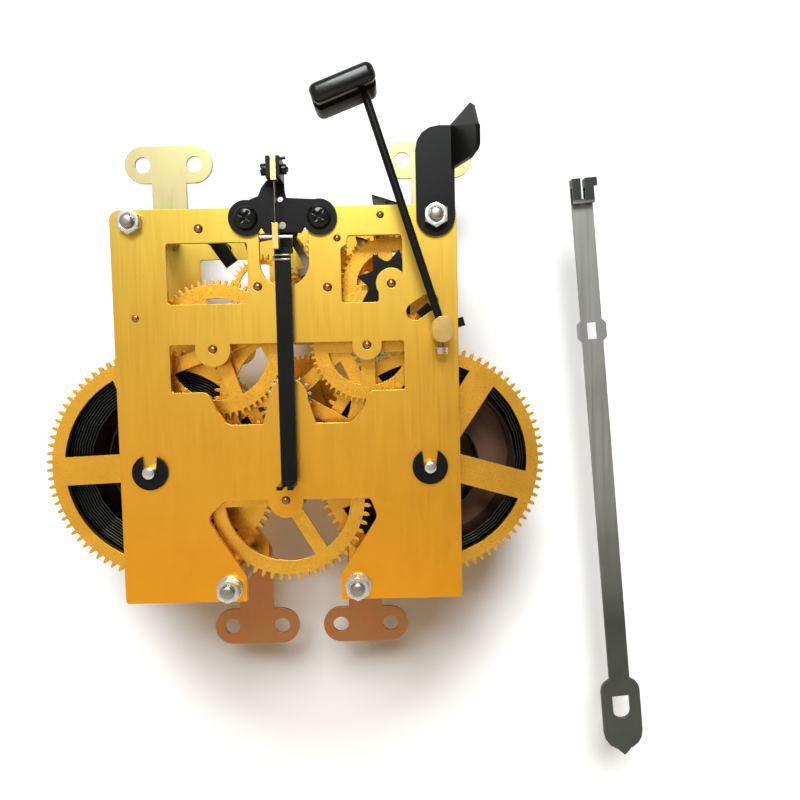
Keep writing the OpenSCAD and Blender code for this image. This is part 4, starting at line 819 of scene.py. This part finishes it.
class MOVEMENT_OT_pivot_ends(bpy.types.Operator):
    """Model the domed ends of pivots and winding arbors, and the riveted post, on the back plate"""

    bl_idname = "movement.pivot_ends"
    bl_label = "Pivot ends"

    def execute(self, context):
        size = context.scene.movement_fasteners
        pivot_proud, winding_proud = 0.00104, 0.0007
        for bodies, diameter in ((PIVOTS, size.pivot_d), (SMALL_PIVOTS, size.small_pivot_d)):
            dome = turned(dome_outline(diameter / 2 + SKIN, pivot_proud), 28)
            for body in bodies:
                at = on_plate(AXIS[body].x, AXIS[body].z)
                tip = copy_to(dome, standing(at, OUT_BACK), body + "_pivot_end")
                hand_over(tip, body, "pivot_steel")
            discard(dome)
        for body in WINDING:
            at = Vector((AXIS[body].x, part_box(body + "_arbor")[0].y, AXIS[body].z))
            end = turned(dome_outline(size.winding_d / 2 + SKIN, winding_proud), 36)
            end = move_to(end, standing(at, OUT_BACK), body + "_arbor_end")
            hand_over(end, body, "polished_steel")
        r, h = 0.0013, 0.00076
        rivet = turned([
            (0, 0), (r, 0), (r, 0.0002), (0.00115, 0.00045), (0.0008, 0.00066), (0.0004, 0.00074),
            (0, h),
        ], 28)
        rivet = move_to(rivet, standing(on_plate(*POST), OUT_BACK), "post_rivet")
        hand_over(rivet, "root", "pivot_steel")
        return {"FINISHED"}


class MOVEMENT_OT_collet_screw(bpy.types.Operator):
    """Model the slotted set screw below the hammer's collet"""

    bl_idname = "movement.collet_screw"
    bl_label = "Collet screw"

    def execute(self, context):
        out, drop, head_gap, head_turn = 0.0042, 0.0051, 0.00165, 0.5
        at = on_plate(AXIS["hammer"].x, AXIS["hammer"].z - drop, out)
        crest, root, half_pitch, length = 0.00118, 0.00114, 0.0003, 0.0021
        thread = [(root if step % 2 else crest, step * half_pitch) for step in range(7)]
        shank = turned([(0, 0), *thread, (crest, length), (0, length)], 28)
        shank = move_to(shank, standing(at, DOWN), "collet_screw_thread")
        hand_over(shank, "hammer", "pivot_steel")
        r, h = 0.00227, 0.0024
        head = turned([
            (0, 0), (0.0020, 0), (0.00225, 0.0003), (r, 0.0013), (0.0021, 0.0019),
            (0.0017, 0.0023), (0, h),
        ], 36)
        cut_slot(head, 0.0006, h)
        soften(head, 0.00007)
        placement = standing(at + DOWN * head_gap, DOWN, head_turn)
        head = move_to(head, placement, "collet_screw_head")
        hand_over(head, "hammer", "polished_steel")
        return {"FINISHED"}


class MOVEMENT_OT_hammer_head(bpy.types.Operator):
    """Model the hammer head's two rounded bars and the web between them"""

    bl_idname = "movement.hammer_head"
    bl_label = "Hammer head"

    def execute(self, context):
        size = context.scene.movement_hammer
        lean = size.rod_lean
        rod_end = AXIS["hammer"] + Vector((-math.sin(lean), 0, math.cos(lean))) * size.rod_l
        rod_end.y = PLATE_FACE - size.rod_off
        middle = Vector((-size.head_offset, -size.head_near, size.head_h / 2))
        near = Vector((0, -(size.groove + size.near_lobe) / 2, 0))
        far = Vector((0, (size.groove + size.far_lobe) / 2, 0))
        waist, overlap, lobe_round, web_round = 0.0016, 0.003, 0.0024, 0.0012
        web = (size.head_l - waist, size.groove + overlap, size.head_h - waist)
        head = gather([
            soften(block((size.head_l, size.near_lobe, size.head_h), middle + near), lobe_round, 6),
            soften(block((size.head_l, size.far_lobe, size.head_h), middle + far), lobe_round, 6),
            soften(block(web, middle), web_round, 3),
        ], "rounded_hammer_head")
        turn = Matrix.Rotation(-lean - size.head_turn, 4, "Y")
        head = move_to(head, Matrix.Translation(rod_end) @ turn, "rounded_hammer_head")
        hand_over(head, "hammer", "head_black")
        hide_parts("hammer_head")
        return {"FINISHED"}


class MOVEMENT_OT_crutch_glints(bpy.types.Operator):
    """Model two pale steel bars across the crutch below its bend, as painted highlights of the bends"""

    bl_idname = "movement.crutch_beads"
    bl_label = "Crutch beads"

    def execute(self, context):
        # Painted highlight: pale bars standing for the glints on the crutch's bends
        width, r, out, drops = 0.0055, 0.0004, 0.0042, (0.0103, 0.0118)
        bead = turned([
            (0, 0), (r * 0.7, 0.0001), (r, 0.0004), (r, width - 0.0004),
            (r * 0.7, width - 0.0001), (0, width),
        ], 20)
        left, top = AXIS["pallet"].x - width / 2, AXIS["pallet"].z
        glint_bars = [
            copy_to(bead, standing(on_plate(left, top - drop, out), RIGHT), "bead")
            for drop in drops
        ]
        discard(bead)
        # Painted highlight: the bars take pale stud steel to read as glints
        hand_over(gather(glint_bars, "crutch_beads"), "pallet", "stud_steel")
        return {"FINISHED"}


class MOVEMENT_OT_stage(bpy.types.Operator):
    """Set up the pale backdrop, the lamps and the camera"""

    bl_idname = "movement.stage"
    bl_label = "Stage"

    def execute(self, context):
        stage = context.scene.movement_stage
        self.paper(stage)
        self.backdrop(stage)
        self.lamps(context, stage)
        self.room(context, stage)
        self.camera(context)
        context.scene.view_settings.view_transform = "Standard"
        return {"FINISHED"}

    def paper(self, stage):
        """Pale paper with a warm bounce, a painted glow for the camera that lifts shadows away from the movement,
        and a clear back.
        """
        tree, shader = start("backdrop_paper", 0.0)
        ray = add(tree, "LightPath")
        camera_ray, glossy_ray = ray.outputs["Is Camera Ray"], ray.outputs["Is Glossy Ray"]
        seen = combined(tree, "MAXIMUM", camera_ray, glossy_ray)
        tone = mixed(tree, seen, stage.bounce[:], stage.paper[:])
        tree.links.new(tone, shader.inputs["Base Color"])
        shader.inputs["Roughness"].default_value = 0.9
        shader.inputs["Specular IOR Level"].default_value = 0.1
        away = add(tree, "VectorMath", operation="DISTANCE")
        away.inputs[1].default_value = (0, stage.wall, SHADOW_Z)
        tree.links.new(object_place(tree, SHADOW_SQUEEZE), away.inputs[0])
        distance = away.outputs["Value"]
        rising = spread(tree, distance, *GLOW_RISES, 0, stage.lift)
        fading = spread(tree, distance, *GLOW_FADES, 1, 0)
        near_glow = combined(tree, "MULTIPLY", rising, fading)
        far_glow = spread(tree, distance, *FAR_GLOW_RISES, 0, FAR_GLOW)
        glow = combined(tree, "MAXIMUM", near_glow, far_glow)
        # Painted light: only the camera sees the glow
        shown = combined(tree, "MULTIPLY", glow, camera_ray)
        tree.links.new(shown, shader.inputs["Emission Strength"])
        shader.inputs["Emission Color"].default_value = (*GLOW_TINT, 1)
        side = add(tree, "NewGeometry")
        clear = add(tree, "BsdfTransparent")
        sided = add(tree, "MixShader")
        tree.links.new(side.outputs["Backfacing"], sided.inputs[0])
        tree.links.new(shader.outputs[0], sided.inputs[1])
        tree.links.new(clear.outputs[0], sided.inputs[2])
        tree.links.new(sided.outputs[0], tree.nodes["Material Output"].inputs["Surface"])

    def backdrop(self, stage):
        """Floor whose back edge is drawn up into a wall, with a cove between them."""
        deselect()
        bpy.ops.mesh.primitive_plane_add(size=1)
        sheet = bpy.context.object
        sheet.scale = (SHEET_W, stage.reach, 1)
        sheet.location = (SHEET_X, stage.wall - stage.reach / 2, -stage.floor)
        settle(sheet, "backdrop")
        points = sheet.data.vertices
        for point in points:
            point.select = point.co.y > stage.wall - 0.01
        for edge in sheet.data.edges:
            edge.select = all(points[index].select for index in edge.vertices)
        sheet.data.polygons[0].select = False
        bpy.ops.object.mode_set(mode="EDIT")
        bpy.ops.mesh.select_mode(type="EDGE")
        bpy.ops.mesh.extrude_region_move(TRANSFORM_OT_translate={"value": (0, 0, WALL_H)})
        bpy.ops.mesh.select_all(action="SELECT")
        bpy.ops.mesh.normals_make_consistent(inside=True)
        bpy.ops.object.mode_set(mode="OBJECT")
        if sheet.data.polygons[0].normal.z < 0:
            bpy.ops.object.mode_set(mode="EDIT")
            bpy.ops.mesh.flip_normals()
            bpy.ops.object.mode_set(mode="OBJECT")
        soften(sheet, COVE_R, 8)
        sheet.data.materials.append(bpy.data.materials["backdrop_paper"])
        sheet.visible_shadow = False

    def lamps(self, context, stage):
        for name, power, at, aim, width, colour in LAMPS:
            deselect()
            bpy.ops.object.light_add(type="AREA", location=at)
            lamp = context.object
            lamp.name = name
            lamp.data.shape = "DISK"
            lamp.data.size = width
            lamp.data.energy = getattr(stage, power)
            lamp.data.color = colour
            lamp.rotation_euler = (Vector(aim) - Vector(at)).to_track_quat("-Z", "Y").to_euler()

    def room(self, context, stage):
        """Weak warm light on the pieces, a brighter room for metals to mirror, white to see."""
        world = bpy.data.worlds.new("room")
        context.scene.world = world
        world.use_nodes = True
        tree = world.node_tree
        glow = tree.nodes["Background"]
        parts = add(tree, "SeparateXYZ")
        tree.links.new(add(tree, "TexCoord").outputs["Generated"], parts.inputs["Vector"])
        upward = spread(tree, parts.outputs["Z"], -0.7, 0.8)
        rightward = spread(tree, parts.outputs["X"], -0.4, 0.4)
        left, right = mixed(tree, upward, *ROOM_LEFT), mixed(tree, upward, *ROOM_RIGHT)
        mirrored = mixed(tree, rightward, left, right)
        ray = add(tree, "LightPath")
        camera_ray, glossy_ray = ray.outputs["Is Camera Ray"], ray.outputs["Is Glossy Ray"]
        light = mixed(tree, glossy_ray, ROOM_WARMTH, mirrored)
        tree.links.new(mixed(tree, camera_ray, light, stage.paper[:]), glow.inputs["Color"])
        on_pieces = spread(tree, glossy_ray, 0, 1, stage.sky, stage.room)
        on_view = spread(tree, camera_ray, 0, 1, 0, ROOM_SEEN)
        tree.links.new(combined(tree, "MAXIMUM", on_pieces, on_view), glow.inputs["Strength"])

    def camera(self, context):
        pitch, yaw, roll = (math.radians(angle) for angle in CAMERA_TURN)
        flat = math.cos(pitch)
        ahead = Vector((math.sin(yaw) * flat, math.cos(yaw) * flat, math.sin(pitch)))
        level = Vector((math.cos(yaw), -math.sin(yaw), 0))
        above = level.cross(ahead)
        right = level * math.cos(roll) + above * math.sin(roll)
        up = above * math.cos(roll) - level * math.sin(roll)
        turn = Matrix((right, up, -ahead)).transposed().to_4x4()
        deselect()
        bpy.ops.object.camera_add(location=(0, 0, 0))
        camera = context.object
        camera.matrix_world = Matrix.Translation(CAMERA_AT) @ turn
        camera.data.sensor_width = SENSOR_MM
        camera.data.lens = SENSOR_MM * FOCAL_PX / FRAME_PX
        camera.data.clip_start = 0.01
        context.scene.camera = camera


class MOVEMENT_PT_looks(bpy.types.Panel):
    """The movement's pieces, in the sidebar"""

    bl_label = "Clock movement"
    bl_space_type = "VIEW_3D"
    bl_region_type = "UI"
    bl_category = "Movement"

    def draw(self, context):
        for step in STEPS:
            self.layout.operator(step.bl_idname)


STEPS = (
    MOVEMENT_OT_finishes,
    MOVEMENT_OT_pillar_nuts,
    MOVEMENT_OT_plate_screws,
    MOVEMENT_OT_pivot_ends,
    MOVEMENT_OT_collet_screw,
    MOVEMENT_OT_hammer_head,
    MOVEMENT_OT_crutch_glints,
    MOVEMENT_OT_stage,
)
GROUPS = {
    "movement_finishes": MovementFinishes,
    "movement_fasteners": MovementFasteners,
    "movement_hammer": MovementHammer,
    "movement_stage": MovementStage,
}
CLASSES = (*GROUPS.values(), *STEPS, MOVEMENT_PT_looks)


def register():
    for made in CLASSES:
        bpy.utils.register_class(made)
    for field, group in GROUPS.items():
        setattr(bpy.types.Scene, field, PointerProperty(type=group))


def unregister():
    for field in GROUPS:
        delattr(bpy.types.Scene, field)
    for made in reversed(CLASSES):
        bpy.utils.unregister_class(made)


def main():
    register()
    bpy.ops.movement.finishes()
    bpy.ops.movement.pillar_nuts()
    bpy.ops.movement.plate_screws()
    bpy.ops.movement.pivot_ends()
    bpy.ops.movement.collet_screw()
    bpy.ops.movement.hammer_head()
    bpy.ops.movement.crutch_beads()
    bpy.ops.movement.stage()


if __name__ == "__main__":
    main()
